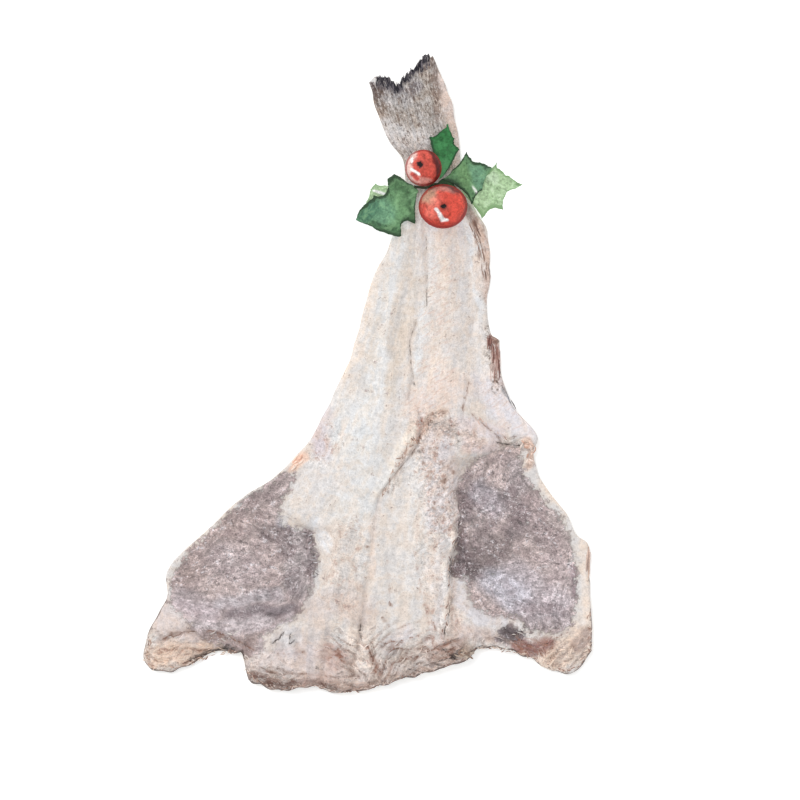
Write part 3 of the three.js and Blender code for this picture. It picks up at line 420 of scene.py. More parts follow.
TAIL_TINTS = (
    (((6, 282), (12, 262), (22, 238)), 6, (180, 158, 142), 0.75),
    (((4, 289), (10, 281), (14, 272)), 8.5, (84, 70, 68), 0.95),
    (((3, 293.5), (7, 293)), 2.2, (236, 234, 232), 0.95),
    (((70.5, 303), (80, 268), (86, 236), (90, 200)), 7, (226, 206, 195), 0.9),
    (((64, 300), (68, 276)), 3.5, (140, 118, 106), 0.7),
    (((69, 268), (70, 256)), 3, (146, 124, 112), 0.6),
    (((62, 312), (68, 304)), 6, (140, 130, 126), 0.8),
    (((20, 246), (40, 234), (54, 238)), 11, (220, 215, 212), 0.8),
    (((20, 286), (34, 277), (46, 286)), 6, (108, 102, 108), 0.75),
    (((14, 268), (30, 258)), 7, (162, 146, 132), 0.5),
    (((18, 278), (36, 274)), 6, (196, 192, 190), 0.5),
    (((8, 250), (18, 226), (28, 206)), 3.5, (150, 126, 112), 0.75),
    (((50, 262), (53, 238)), 2, (222, 216, 212), 0.6),
)
MEMBRANE_TINTS = (
    (((-120, -135), (-160, -168), (-190, -205)), 16, (178, 158, 153), 0.6),
    (((-76, -168), (-68, -212)), 14, (174, 167, 169), 0.65),
    (((-192, -222), (-160, -236)), 9, (192, 181, 184), 0.65),
    (((165, -135), (188, -165)), 16, (166, 149, 149), 0.65),
    (((112, -112), (120, -140), (112, -170)), 12, (146, 134, 135), 0.6),
    (((140, -205), (185, -228)), 18, (206, 196, 202), 0.7),
    (((-85, -105), (-120, -130)), 16, (168, 155, 154), 0.55),
    (((-102, -160), (-84, -158), (-86, -174)), 9, (130, 118, 118), 0.8),
    (((-85, -146), (-62, -150)), 7, (196, 196, 204), 0.8),
    (((-146, -185), (-126, -195)), 18, (192, 178, 178), 0.75),
    (((-150, -230), (-120, -226), (-90, -222)), 7, (204, 196, 200), 0.85),
    (((-140, -242), (-100, -240), (-75, -236)), 7, (140, 130, 134), 0.9),
    (((-180, -250), (-140, -253), (-96, -250), (-80, -244)), 5.5, (208, 198, 201), 0.8),
    (((-168, -262), (-146, -268), (-122, -276)), 7, (176, 158, 156), 0.8),
    (((-112, -262), (-108, -272)), 4, (178, 166, 168), 0.7),
    # Painted shadow along the edge of the left lobe.
    (((-152, -278), (-134, -278.5), (-125, -285)), 3, (66, 54, 54), 0.9),
    (((-74, -206), (-70, -222)), 8, (146, 134, 136), 0.6),
    (((-190, -232), (-172, -238), (-156, -240)), 7, (212, 198, 202), 0.75),
    (((-60, -165), (-57, -200)), 6, (138, 128, 130), 0.75),
    (((99, -124), (99, -142)), 8, (120, 108, 112), 0.7),
    (((88, -172), (100, -200)), 11, (118, 106, 108), 0.8),
    (((150, -90), (150, -110)), 12, (160, 150, 152), 0.7),
    (((112, -116), (130, -132)), 11, (180, 174, 182), 0.6),
    (((124, -208), (150, -226)), 14, (204, 202, 212), 0.75),
    (((180, -186), (194, -204)), 10, (206, 190, 190), 0.65),
    (((203, -196), (206, -222)), 4, (150, 132, 138), 0.75),
    (((184, -142), (198, -170)), 6, (210, 196, 192), 0.6),
    (((162, -150), (174, -162)), 10, (158, 144, 144), 0.6),
    (((84, -196), (96, -186), (106, -196)), 9, (108, 96, 98), 0.8),
    (((106, -192), (134, -175)), 13, (124, 112, 112), 0.7),
    (((140, -122), (152, -140), (148, -158)), 10, (134, 122, 124), 0.75),
    (((160, -238), (186, -240)), 9, (166, 152, 156), 0.7),
    (((96, -94), (116, -82)), 7, (216, 200, 196), 0.6),
    (((160, -248), (196, -250)), 8, (180, 170, 174), 0.7),
    (((128, -261), (158, -261)), 10, (112, 102, 106), 1.0),
    (((112, -80), (146, -76)), 6, (202, 184, 178), 0.7),
    (((92, -120), (92, -185)), 4.5, (112, 102, 104), 0.6),
)
# A slow and a quick wave that shift the marks: height and length in metres, seed.
WARP = ((0.004, 0.022, 71), (0.0018, 0.007, 73))

# Thin lines and spots: points, half width, strength. Brown ones are stain marks.
# Dark lines are painted shade in creases and crevices, and painted shadow under raised edges.
DARK_LINES = (
    (((57, 135), (58, 100), (58, 67)), 0, 0.82),
    (((47, 50), (41, 29)), 0, 0.72),
    (((41, 29), (42, 12), (44, -4)), 0, 0.83),
    (((44, -4), (41, -14), (39, -26)), 0, 0.8),
    (((145, 26), (145, -8)), 0, 0.7),
    (((130, -10), (138, -24), (146, -36)), 0, 0.8),
    (((128, -69), (140, -71), (152, -72)), 0, 0.93),
    # Painted shade in the crevice beside the raised flap edge of the right loin.
    (((89, -128), (91, -145), (86, -170), (81, -190), (80, -214)), 0, 0.92),
    (((83, -225), (81, -235), (76, -254), (74, -264)), 0, 1.0),
    (((66, -272), (78, -268), (90, -264)), 0, 0.94),
    (((64, -279), (74, -274), (86, -276), (94, -272)), 0, 0.94),
    # Painted shadow under the nub beside the neck and along the notch.
    (((76, -276), (87, -285)), 0, 0.95),
    (((40, -294), (52, -298)), 0, 0.95),
    (((56, -291), (68, -286), (78, -284), (88, -280)), 0, 1.0),
    (((98, -280), (106, -274.5), (113, -272.5), (120, -273.5)), 0, 1.0),
    (((-85, -258), (-89, -263), (-95, -269)), 0, 1.0),
    (((-86, -260), (-90, -265), (-96, -269)), 0, 1.0),
    (((-78, -258.5), (-79.5, -269.5)), 0, 1.0),
    (((-79.5, -269.5), (-72, -264)), 0, 0.95),
    (((-8, -251), (-10, -258), (-8, -265)), 0, 1.0),
    # Painted shadow under the lower edge of the left lobe.
    (((-184, -289), (-165, -281), (-150, -275), (-136, -274)), 0, 1.0),
    (((71, -55), (76, -59), (80, -58)), 0, 0.85),
    (((2, -268), (4, -280), (10, -292)), 0, 0.78),
    (((150, -268), (164, -272), (176, -270), (190, -264)), 0, 0.85),
    (((136, -256), (144, -262), (152, -258)), 0, 0.9),
    (((20, -252), (28, -246)), 0, 0.7),
    (((146, -190), (170, -188), (192, -190)), 0, 0.88),
    (((-158, -158), (-158, -172)), 0, 0.66),
)
BROWN_LINES = (
    (((77, -37), (68, -41), (59, -46), (54, -59), (47, -66)), 0, 0.76),
    (((47, -66), (39, -72), (34, -80), (30, -87)), 0, 0.8),
    (((30, -87), (22, -104), (14, -122)), 0, 0.7),
    (((100, -9), (96, -24), (94, -34), (93, -46)), 0, 0.83),
    (((103, -41), (115, -52), (130, -64)), 0, 0.88),
    (((-206, -266), (-200, -262), (-194, -263), (-184, -258), (-173, -258)), 0, 1.0),
    (((-160, -256), (-145, -260), (-130, -268), (-115, -276)), 0, 0.9),
    (((-150, -262), (-130, -274)), 0, 0.8),
    (((-1, -272), (3, -283), (11, -298)), 0, 1.0),
    (((3, -268), (6, -276), (4, -288)), 0, 0.9),
    (((44, -175), (48, -190), (51, -208)), 0, 0.68),
    (((17, -182), (20, -205), (21, -232)), 0, 0.7),
    (((52, -157), (70, -160), (87, -162)), 0, 0.68),
    (((35, -284), (50, -280), (68, -272), (92, -266)), 0, 0.95),
    (((16, -288), (22, -274), (34, -264), (50, -260)), 0, 0.9),
    (((10, -268), (22, -258), (36, -250), (50, -247)), 0, 0.8),
    (((24, -296), (32, -282), (44, -272), (58, -266)), 0, 0.9),
    (((44, -288), (52, -276), (60, -262)), 0, 0.85),
    (((12, -272), (22, -266), (34, -268)), 0, 0.95),
    (((16, -280), (28, -273), (42, -274)), 0, 0.95),
    (((22, -290), (34, -284), (46, -285)), 0, 0.95),
    (((58, -232), (64, -246), (68, -258)), 0, 0.85),
    (((48, -212), (56, -232), (60, -250)), 0, 0.75),
    (((-44, -272), (-34, -276), (-22, -284)), 0, 0.9),
    (((-40, -284), (-26, -276)), 0, 0.85),
    (((-104, -276), (-84, -280), (-64, -276)), 0, 0.8),
    (((-110, -292), (-90, -300), (-60, -298), (-30, -304)), 0, 0.9),
    (((152, -272), (162, -278), (174, -276)), 0, 0.98),
    (((176, -270), (190, -262), (200, -258)), 0, 0.88),
    (((180, -284), (192, -276), (204, -272)), 0, 0.88),
    (((186, -290), (200, -286), (212, -276)), 0, 0.84),
    (((109, 168), (114, 150), (118, 130)), 0, 0.8),
    (((104, 150), (110, 120), (113, 90)), 0, 0.7),
    (((121, 36), (124, 16), (126, -8)), 0, 0.95),
    (((127, 30), (128, 10)), 0, 0.9),
    (((-30, -150), (-28, -168)), 0, 0.66),
    (((-22, -196), (-20, -216)), 0, 0.66),
)
# Dark spots: small dark specks, and painted shadow under edges.
DARK_SPOTS = (
    (((50, -77), (51, -78)), 0.9, 0.92),
    (((3, -60), (3, -61)), 0.9, 0.82),
    (((-52, -292), (-50, -293)), 0.8, 0.9),
    (((44, -12), (43, -8)), 0.6, 0.86),
    # Painted shadow under the left lobe's edge.
    (((-178, -286), (-160, -278), (-140, -273)), 1.6, 0.92),
    (((134, -258), (148, -262)), 2, 0.82),
    # Painted shadow under the nub beside the neck.
    (((84, -282), (90, -279)), 1.8, 1.0),
)
BROWN_SPOTS = (
    (((-205, -266), (-199, -262)), 1.4, 0.96),
    (((54, -88), (55, -89)), 0.9, 0.94),
    (((73, -108), (74, -109)), 1, 0.94),
    (((70, -122), (71, -123)), 0.9, 0.9),
    (((65, -135), (66, -136)), 1, 0.9),
    (((60, -104), (64, -106)), 0.8, 0.84),
    (((80, -95), (84, -100)), 0.9, 0.84),
    (((-9, -166), (-9, -167)), 0.8, 0.92),
    (((-4, -173), (-3, -174)), 0.7, 0.86),
    (((21, -230), (22, -231)), 1.1, 0.9),
    (((26, -299), (27, -300)), 1.1, 0.92),
    (((15, -243), (19, -250)), 0.8, 0.86),
    (((-36, -280), (-26, -282)), 1.6, 0.8),
    (((52, -45), (48, -62)), 1.4, 0.84),
)
# How far beside a line or spot its strength fades to nothing.
MARK_REACH = 6.0
# Where small reddish-brown specks lie, and where fine pink lines run across the flesh.
SPECKED = (
    (((60, -80), (72, -145)), 22, 0.9),
    (((55, -55), (80, -60)), 20, 1.0),
    (((94, -50), (106, -72)), 10, 0.8),
    (((-40, -60), (-52, -85)), 12, 0.7),
    (((-20, -165), (-30, -225)), 18, 0.6),
    (((60, -170), (76, -240)), 18, 0.6),
)
HATCHED = (
    (((66, -5), (60, -40)), 24, 1.0),
    (((68, -100), (74, -155)), 16, 0.9),
    (((72, 110), (64, 10)), 16, 0.8),
    (((120, -20), (145, -50)), 16, 0.6),
)
# Where the flesh is torn away from the head end, and where the head end is smooth.
CRAGGED = (
    (((75, -41), (60, -48), (55, -60), (43, -72), (32, -88), (18, -118)), 4.5, 0.5),
    (((66, -52), (82, -57)), 10, 0.6),
    (((84, -60), (106, -70)), 8, 0.45),
    (((67, -90), (75, -150)), 12, 0.3),
    (((128, -69), (158, -72), (160, -88)), 5, 0.7),
)
SILKY = (
    (((-196, -226), (-150, -238), (-100, -240), (-64, -226)), 13, 0.8),
    (((-184, -252), (-140, -262), (-110, -268)), 14, 0.9),
)
CALM = (
    (((-108, -268), (-60, -274), (-52, -290)), 22, 0.75),
    (((30, -255), (40, -262)), 14, 0.4),
)
STRINGY = (
    (((105, 160), (114, 130), (118, 100), (119, 72)), 7, 0.55),
    (((122, 40), (128, -12)), 8, 1.0),
)
REDDISH = (
    (((-25, -285), (-45, -275)), 12, 0.9),
    (((75, -272), (52, -262)), 12, 0.8),
    (((154, -272), (178, -276)), 12, 1.0),
    (((-214, -285), (-170, -280)), 12, 0.9),
    (((0, -275), (12, -300)), 8, 0.9),
    (((55, -45), (40, -75)), 10, 0.9),
    (((48, -200), (64, -250)), 8, 0.7),
)
# The thin dark line round the head end, partly skin and partly painted shade under the rim: start and
# full, along y.
DARK_RIM_NONE = -0.160
DARK_RIM_FULL = -0.260
DARK_RIM = 0.0022

# Loose fibres beside lines: the line, how many, lengths, half thicknesses, degrees from the
# line's direction, how far that scatters, shift to the line's left (from, to), colours.
FRINGES = (
    # Fin remnant on the right, its spikes and the grey sliver below it.
    (((125, 0), (124.5, 24)), 34, (12, 26), (0.3, 0.7), 0, 5, (-6, 4.5), ((158, 118, 108),
     (184, 150, 140), (126, 92, 84), (208, 186, 178))),
    (((119, 30), (119.5, 34)), 5, (10, 18), (0.4, 0.7), 0, 6, (-3.5, 1.5), ((160, 120, 110),
     (120, 84, 76))),
    (((131.5, -12), (145, -34)), 8, (8, 18), (0.3, 0.7), 0, 8, (-1, 1.2), ((150, 150, 158),
     (196, 192, 192), (112, 104, 106))),
    # Strip of skin beside the right loin.
    (((104, 150), (113, 128), (118, 96)), 44, (6, 16), (0.3, 0.5), 0, 6, (-5, 3), ((176, 150, 138),
     (150, 120, 106), (208, 190, 180), (128, 104, 94))),
    # Sliver that stands off the right rim.
    (((218.5, -195), (219, -182)), 7, (18, 27), (0.6, 1.1), 0, 5, (-2.2, 2.2), ((206, 180, 166),
     (190, 164, 150), (170, 146, 136))),
    # Orange scraps above the right membrane, and the stub on the left.
    (((153, -70), (163, -74), (158, -90)), 20, (4, 8), (0.7, 1.4), 20, 60, (-3, 3), ((238, 214, 200),
     (232, 204, 188), (216, 176, 156), (246, 230, 220))),
    (((-78, -94), (-67, -83)), 9, (6, 13), (0.8, 1.5), 0, 14, (-3, 3), ((242, 212, 194), (232, 188, 166),
     (246, 224, 210))),
    # Cut edge in the middle, and its continuation.
    (((75, -39), (57, -47), (54, -59), (47, -66), (39, -73)), 44, (2, 6), (0.3, 0.7), 40, 50, (-4, 3),
     ((222, 194, 178), (190, 158, 142), (240, 222, 210), (156, 126, 112))),
    (((39, -73), (30, -87), (14, -122)), 30, (3, 7), (0.3, 0.6), 30, 40, (-2, 2), ((210, 186, 172),
     (176, 146, 132), (232, 220, 212))),
    (((103, -41), (130, -64), (142, -68)), 12, (3, 6), (0.3, 0.6), 25, 45, (-2, 2.5), ((214, 186, 172),
     (180, 150, 138), (238, 228, 222))),
    # Right border of the left membrane and left border of the right one.
    (((-63, -158), (-56, -176), (-54, -204)), 34, (3, 7), (0.3, 0.5), 70, 30, (-3, 3), ((118, 110, 112),
     (150, 142, 144), (206, 204, 206))),
    (((104, -88), (92, -102), (88, -140), (88, -175)), 34, (2, 5), (0.3, 0.5), 60, 45, (1.5, 7.5),
     ((150, 138, 142), (172, 162, 164), (226, 220, 218), (190, 178, 178))),
    # Flap edge of the right loin.
    (((87, -160), (82, -190), (81, -232), (75, -258)), 36, (3, 7), (0.3, 0.7), 20, 40, (-3, 1.5),
     ((236, 222, 212), (214, 192, 180), (150, 120, 108))),
    # Rim of the lobes, the neck and the right wall.
    (((-218.5, -262), (-223, -285), (-217, -295), (-199, -296), (-175, -288), (-151, -279), (-130, -278),
     (-121, -300), (-103, -312)), 90, (2, 6), (0.3, 0.8), 15, 50, (-1.4, 2.4), ((218, 196, 180),
     (192, 162, 146), (158, 128, 116), (232, 218, 208))),
    (((-103, -312), (-85, -315), (-61, -311), (-31, -318), (-13, -317), (5, -312), (53, -298), (80, -290),
     (98, -283)), 130, (2, 6), (0.3, 0.8), 15, 50, (-1.4, 2.4), ((214, 194, 182), (188, 160, 148),
     (154, 126, 114), (230, 216, 208))),
    (((98, -283), (108, -276), (119, -273), (161, -283), (185, -296), (196, -298), (206, -296),
     (221, -277), (221, -240)), 90, (2, 6), (0.3, 0.8), 15, 50, (-1.4, 2.4), ((220, 200, 186),
     (192, 164, 150), (158, 126, 112), (234, 220, 210))),
    # Nub beside the neck.
    (((88, -277), (102, -280)), 16, (4, 9), (0.8, 1.6), 30, 60, (-4, 3), ((206, 190, 174),
     (186, 166, 150), (150, 126, 112))),
)
RAY_TIPS = {
    "count": 84, "from": 0.008, "to": 0.059, "lengths": (0.0025, 0.0100),
    "girths": (0.0003, 0.0007), "past": (-0.0010, 0.0024), "leans": (100.0, 88.0), "scatter": 7.0,
    "colours": ((40, 38, 46), (58, 54, 60), (28, 27, 34), (84, 78, 82), (112, 106, 112)),
}
SHRED_COUNT = 900
SHRED_LENGTHS = (0.0035, 0.011)
SHRED_GIRTHS = (0.0003, 0.0008)
SHRED_SHADES = (0.8, 1.1)
SHRED_ODDS = (0.1, 0.9)
SHRED_INSET = 0.001
FRINGE_SHADES = (0.85, 1.1)
SHRED_SPREAD = 0.45
SHRED_SEED = 17
SHRED_AREA = (-0.224, 0.22, -0.316, -0.236)
FIBRE_STEPS = 7
FIBRE_BEND = 0.16
BENT_LENGTH = 0.008
# A fibre's taper, how proud its middle lies, and how deep its ends sink, as shares of its girth.
FIBRE_TAPER = 0.75
FIBRE_PROUD = 0.3
FIBRE_SUNK = 0.6

TAIL_FROM = 0.150
TAIL_FULL = 0.222
TAIL_COLOUR = (170, 162, 155)
MEMBRANE_COLOUR = (198, 181, 178)
# The dark tips of the fin rays: how far they reach, and where they start and end across the fin.
TIP_REACH = 0.015
TIPS_START = (0.003, 0.011)
TIPS_ACROSS = (0.063, 0.057)
# A hollow this deep, under the mean of its surroundings, counts as full in the painted shade of hollows.
CAVITY_SCALE = 0.0012
CAVITY_PASSES = 8
# Share of the fine fibres on the belly walls, in relief and in colour.
FIBRES_ON_WALLS = (0.4, 0.5)
# Width of the fish, from left to right, at which its streaks have their own scale.
FLOW_WIDTH = 0.12
LEAST_WIDTH = 0.02

# Salt: its share on bare flesh, its clumps and clusters, and the seed that strews them.
SALT_ON_FLESH = 0.2
SALT_CLUMP = 0.022
SALT_CLUSTER = 0.0045
SALT_SEED = 91
SALT_EDGE = (0.4, 0.6)
SALT_CLUMPED = (-0.3, 1.2)
GRAIN_SHAPE = (1.0, 1.0, 0.8)
GRAIN_TURN = (1.4, 1.4, 6.28)

# ---------------------------------------------------------------- holly

SPRIG = {"x": 0.064, "y": 0.188, "top": 0.0151, "foot": 0.005, "spread": (0.042, 0.066)}
LEAF_THICKNESS = 0.0009
LEAF_PITCH = 0.0013
LEAF_WAVE_HEIGHT = 0.0005
LEAF_WAVE_LENGTH = 0.021
CURL_FROM = 0.45
LEAF_CELLS = (96, 28)
MIDRIB_DEPTH = 0.0003
MIDRIB_HALF = 0.08
MIDRIB_FADE = 3.0
LEAF_WELD = 1e-6
# Small lobes of the leaves' margins: height, length, seed. They fade at stem and tip.
MARGIN_RAGS = ((0.0017, 0.008, 94), (0.0008, 0.0036, 95), (0.0004, 0.0014, 96))
MARGIN_FADE = 0.002

# Each margin runs from the stem through its spines to the tip: (x, y, hollow).
LEAVES = {
    "leaf_left_pale": {
        "coat": "pale_leaf", "layer": -1, "curl": 0.0, "cup": 0.0001, "stem": (0.024, 0.186),
        "above": ((0.006, 0.1905, 0.03), (0.001, 0.184, 0.0), (-0.003, 0.170, 0.04)),
        "below": ((0.011, 0.172, 0.0), (-0.003, 0.170, 0.0)),
    },
    "leaf_left": {
        "coat": "green_leaf", "layer": 0, "curl": 0.0, "cup": 0.0007, "stem": (0.049, 0.182),
        "above": ((0.025, 0.1995, -0.05), (0.0185, 0.1945, 0.0), (0.004, 0.178, 0.36),
                  (-0.0135, 0.1535, -0.05)),
        "below": ((0.0455, 0.150, 0.04), (0.032, 0.1375, 0.45), (0.026, 0.1375, -0.1),
                  (-0.0135, 0.1535, -0.03)),
    },
    "leaf_right_pale": {
        "coat": "pale_leaf", "layer": 0, "curl": 0.002, "cup": 0.0008, "stem": (0.092, 0.182),
        "above": ((0.128, 0.212, 0.04), (0.1275, 0.205, 0.0), (0.140, 0.195, 0.0),
                  (0.154, 0.1895, 0.04)),
        "below": ((0.1125, 0.154, 0.04), (0.134, 0.163, 0.25), (0.138, 0.181, 0.1),
                  (0.154, 0.1895, 0.03)),
    },
    "leaf_top": {
        "coat": "deep_green_leaf", "layer": 0, "curl": 0.004, "cup": 0.0006, "stem": (0.070, 0.1932),
        "above": ((0.059, 0.236, 0.03), (0.079, 0.249, 0.14)),
        "below": ((0.090, 0.224, -0.05), (0.0855, 0.2345, 0.27), (0.079, 0.249, 0.06)),
    },
    "leaf_base": {
        "coat": "dark_leaf", "layer": 0, "curl": 0.0, "cup": 0.0002, "stem": (0.062, 0.184),
        "above": ((0.078, 0.1945, -0.08), (0.089, 0.182, -0.05)),
        "below": ((0.074, 0.178, 0.0), (0.089, 0.182, 0.0)),
    },
    "leaf_right": {
        "coat": "green_leaf", "layer": 1, "curl": 0.003, "cup": 0.0007, "stem": (0.073, 0.194),
        "above": ((0.0975, 0.222, 0.08), (0.104, 0.212, 0.05), (0.118, 0.2075, 0.03),
                  (0.122, 0.203, 0.0)),
        "below": ((0.1025, 0.1695, 0.1), (0.113, 0.1825, 0.1), (0.122, 0.203, 0.08)),
    },
}
# Coats of the leaves: slot, setting, colour of the edge, colour of the light washes.
LEAF_COATS = {
    "green_leaf": ("green_leaf", "green", (30, 58, 32), (134, 174, 128)),
    "deep_green_leaf": ("green_leaf", "deep_green", (20, 66, 34), (72, 142, 86)),
    "pale_leaf": ("pale_leaf", "pale_green", (126, 162, 112), (208, 226, 198)),
    "dark_leaf": ("dark_leaf", "dark_green", (20, 40, 22), (58, 92, 56)),
}
# Patches of deeper or cooler colour on the leaves: points, half width, colour, strength.
LEAF_TINTS = {
    "leaf_left_pale": (
        (((6, 181), (18, 180)), 1.6, (246, 249, 244), 1.0),
        (((-2, 176), (0, 184)), 3, (148, 186, 132), 0.6),
    ),
    "leaf_left": (
        (((16, 165), (8, 160)), 12, (108, 156, 122), 0.9),
        (((-10, 156), (20, 143), (32, 141)), 4, (52, 90, 56), 0.8),
        (((-12, 154), (4, 168)), 6, (70, 118, 92), 0.8),
        (((0, 176), (6, 180)), 4, (44, 82, 58), 0.8),
        (((22, 192), (40, 184)), 4, (52, 92, 52), 0.6),
        (((42, 172), (42, 155)), 3, (58, 98, 58), 0.6),
        (((32, 176), (30, 160)), 7, (112, 158, 108), 0.6),
    ),
    "leaf_right_pale": (
        (((148, 190), (154, 190)), 4, (134, 172, 120), 0.7),
        (((120, 204), (128, 210)), 4, (212, 230, 204), 0.8),
        (((112, 158), (120, 170)), 5, (150, 188, 134), 0.5),
        (((118, 200), (126, 192)), 5, (200, 222, 190), 0.6),
    ),
    "leaf_top": (
        (((60, 232), (66, 214)), 5, (40, 96, 56), 0.7),
        (((72, 198), (76, 206)), 6, (80, 140, 92), 0.6),
    ),
    "leaf_base": (),
    "leaf_right": (
        (((108, 198), (114, 190)), 8, (110, 158, 126), 0.8),
        (((76, 197), (95, 213), (98, 221)), 2.5, (48, 84, 44), 0.8),
        (((118, 206), (121, 200)), 3, (52, 88, 66), 0.8),
        (((72, 191), (80, 188), (87, 183)), 6, (28, 54, 32), 0.95),
        (((95, 172), (103, 170)), 3, (60, 94, 52), 0.7),
        (((104, 186), (106, 181)), 1.4, (246, 248, 244), 1.0),
        (((90, 206), (97, 192)), 7, (112, 152, 100), 0.6),
    ),
}

BERRIES = {
    "berry_upper": {"x": 0.054, "y": 0.204, "radii": (0.0182, 0.0182, 0.014),
                    "foot": 0.0127, "dimple": (-0.003, 0.0027)},
    "berry_lower": {"x": 0.0735, "y": 0.1655, "radii": (0.0243, 0.022, 0.017),
                    "foot": 0.0143, "dimple": (0.0006, -0.0013)},
}
BERRY_TINTS = {
    "berry_upper": (
        (((48, 212), (56, 214)), 6, (226, 96, 82), 0.7),
        # Painted shade on the upper berry's right side.
        (((60, 222), (69, 215), (73, 204), (70.5, 194)), 3, (88, 24, 24), 0.95),
        # Painted light on the upper berry's lit left side.
        (((41, 214), (37, 204), (40, 194), (48, 188)), 5.5, (246, 214, 204), 0.9),
        (((52, 190), (62, 191)), 4, (232, 164, 152), 0.8),
        (((46, 194), (50, 191.5)), 2.2, (206, 66, 56), 0.9),
        # Painted highlights.
        (((42, 208.5), (43.5, 205)), 1, (255, 252, 250), 1.0),
        (((43.5, 199), (47, 197.5), (52, 196.5)), 1.4, (255, 252, 250), 1.0),
    ),
    "berry_lower": (
        (((55, 176), (62, 170), (64, 178)), 5.5, (190, 152, 128), 0.9),
        (((62, 186), (74, 188.5), (84, 186)), 5.6, (92, 52, 50), 0.92),
        (((68, 180), (80, 180)), 3, (176, 128, 118), 0.7),
        # Painted shade on the lower berry's right side.
        (((84, 184), (91, 179), (97, 169), (97, 158)), 3.2, (116, 44, 40), 0.9),
        (((55, 156), (64, 147), (78, 144), (90, 151)), 4.5, (206, 66, 52), 0.85),
        (((80, 172), (88, 166), (84, 156)), 6, (226, 84, 68), 0.8),
        (((66, 166), (62, 158)), 5, (238, 128, 112), 0.6),
        # Painted highlight, a wedge below the dimple.
        (((68, 160.6), (70, 158)), 1.4, (255, 252, 250), 1.0),
        (((70.4, 157), (73.2, 153.5)), 2.2, (255, 252, 250), 1.0),
        (((73.8, 152.8), (78.2, 152.6)), 2.2, (255, 252, 250), 1.0),
    ),
}
# Painted shade on the berries' sides: none where the surface faces up this much, full at this.
BERRY_SIDE_SHADE = (0.58, 0.08)
BERRY_GRID = (72, 112)
BERRY_CROWD = 1.35
DIMPLE_DEPTH = 0.14
DIMPLE_ANGLE = 0.13
DIMPLE_REACH = 0.0075

TWIG_RADIUS = 0.0015
TWIG_LAYER = 1
TWIG_PATH = (
    (0.045, 0.186), (0.056, 0.185), (0.066, 0.1885), (0.077, 0.1875), (0.089, 0.1805), (0.0975, 0.1685),
)
TWIG_SIDES = 12
TWIG_STEPS = 60
TWIG_KNOTS = 9.0
TWIG_SEED = 83
TWIG_WELD = 1e-7

# ---------------------------------------------------------------- stage

CAMERA_AIM = (0.032, -0.027)
CAMERA_SPAN = 0.800
CAMERA_LENS = 135.0
CAMERA_SENSOR = 36.0
SPAN_HEIGHT = 0.008
FLOOR_HALF = 4.0
SUN_FROM = (-0.75, 0.8, 1.55)
SUN_SPREAD = math.radians(28.0)
SKY_COLOUR = (0.985, 0.99, 1.0, 1.0)
GLOW_COLOUR = (1.0, 1.0, 1.0, 1.0)
PAPER_COLOURS = ((250, 250, 250), (252, 252, 252))


# ---------------------------------------------------------------- small mathematics

SLOPE_STEP = 0.002
TINY = 1e-9


def smooth(low, high, value):
    """0 at or below low, 1 at or past high, and smooth between them."""
    share = np.clip((value - low) / (high - low), 0.0, 1.0)
    return share * share * (3.0 - 2.0 * share)


def mix(a, b, share):
    """a at share 0, b at share 1."""
    return a + (b - a) * share


def bell(distance, half):
    """1 at no distance, falling to nothing over about two half widths."""
    return np.exp(-((distance / half) ** 2))


def linear(colour):
    """A colour given as sRGB values from 0 to 255, as linear light."""
    share = np.array(colour, float) / 255.0
    return np.where(share <= 0.04045, share / 12.92, ((share + 0.055) / 1.055) ** 2.4)


def srgb(colour):
    """A colour given as sRGB values from 0 to 1, as values from 0 to 255."""
    return tuple(255.0 * channel for channel in colour)


def rgba(colour):
    return (*linear(colour), 1.0)


class Curve:
    """A smooth curve through (t, value) stations that never overshoots them."""

    def __init__(self, stations):
        self.t, self.v = np.array(sorted(stations), float).T
        slopes = np.diff(self.v) / np.diff(self.t)
        before = slopes[:-1]
        after = slopes[1:]
        agree = before * after > 0.0
        total = np.where(agree, before + after, 1.0)
        inner = np.where(agree, 2.0 * before * after / total, 0.0)
        self.tangents = np.concatenate((slopes[:1], inner, slopes[-1:]))

    def __call__(self, t):
        t = np.clip(t, self.t[0], self.t[-1])
        i = np.clip(np.searchsorted(self.t, t) - 1, 0, len(self.t) - 2)
        span = self.t[i + 1] - self.t[i]
        s = (t - self.t[i]) / span
        s2 = s * s
        s3 = s2 * s
        return (
            (2.0 * s3 - 3.0 * s2 + 1.0) * self.v[i]
            + (s3 - 2.0 * s2 + s) * span * self.tangents[i]
            + (3.0 * s2 - 2.0 * s3) * self.v[i + 1]
            + (s3 - s2) * span * self.tangents[i + 1]
        )

    def slope(self, t):
        return (self(t + SLOPE_STEP) - self(t - SLOPE_STEP)) / (2.0 * SLOPE_STEP)


class RaggedCurve(Curve):
    """An outline curve with seeded raggedness that fades towards its ends."""

    def __init__(self, stations, ragged):
        super().__init__(stations)
        self.height, self.length, self.seed = ragged

    def __call__(self, t):
        fade = smooth(0.0, RAGGED_CORNER, t - self.t[0])
        fade = fade * smooth(0.0, RAGGED_CORNER, self.t[-1] - t)
        wave = noise(t / self.length, np.zeros_like(t), self.seed)
        return super().__call__(t) + fade * self.height * wave


def lattice(i, j, seed):
    """Repeatable numbers between -1 and 1, one for each whole i and j."""
    wave = np.sin(i * 127.1 + j * 311.7 + seed * 74.7) * 43758.5453
    return 2.0 * (wave - np.floor(wave)) - 1.0


def noise(x, y, seed):
    """Repeatable value noise between -1 and 1."""
    i = np.floor(x)
    j = np.floor(y)
    fx = smooth(0.0, 1.0, x - i)
    fy = smooth(0.0, 1.0, y - j)
    low = mix(lattice(i, j, seed), lattice(i + 1, j, seed), fx)
    high = mix(lattice(i, j + 1, seed), lattice(i + 1, j + 1, seed), fx)
    return mix(low, high, fy)


def relief(kind, across, along):
    """Two layers of noise as a height: kind is height, length along, width across, seed."""
    height, long, wide, seed = kind
    coarse = noise(across / wide, along / long, seed)
    fine = noise(2.0 * across / wide, 2.0 * along / long, seed + 1)
    return height * (coarse + 0.5 * fine)


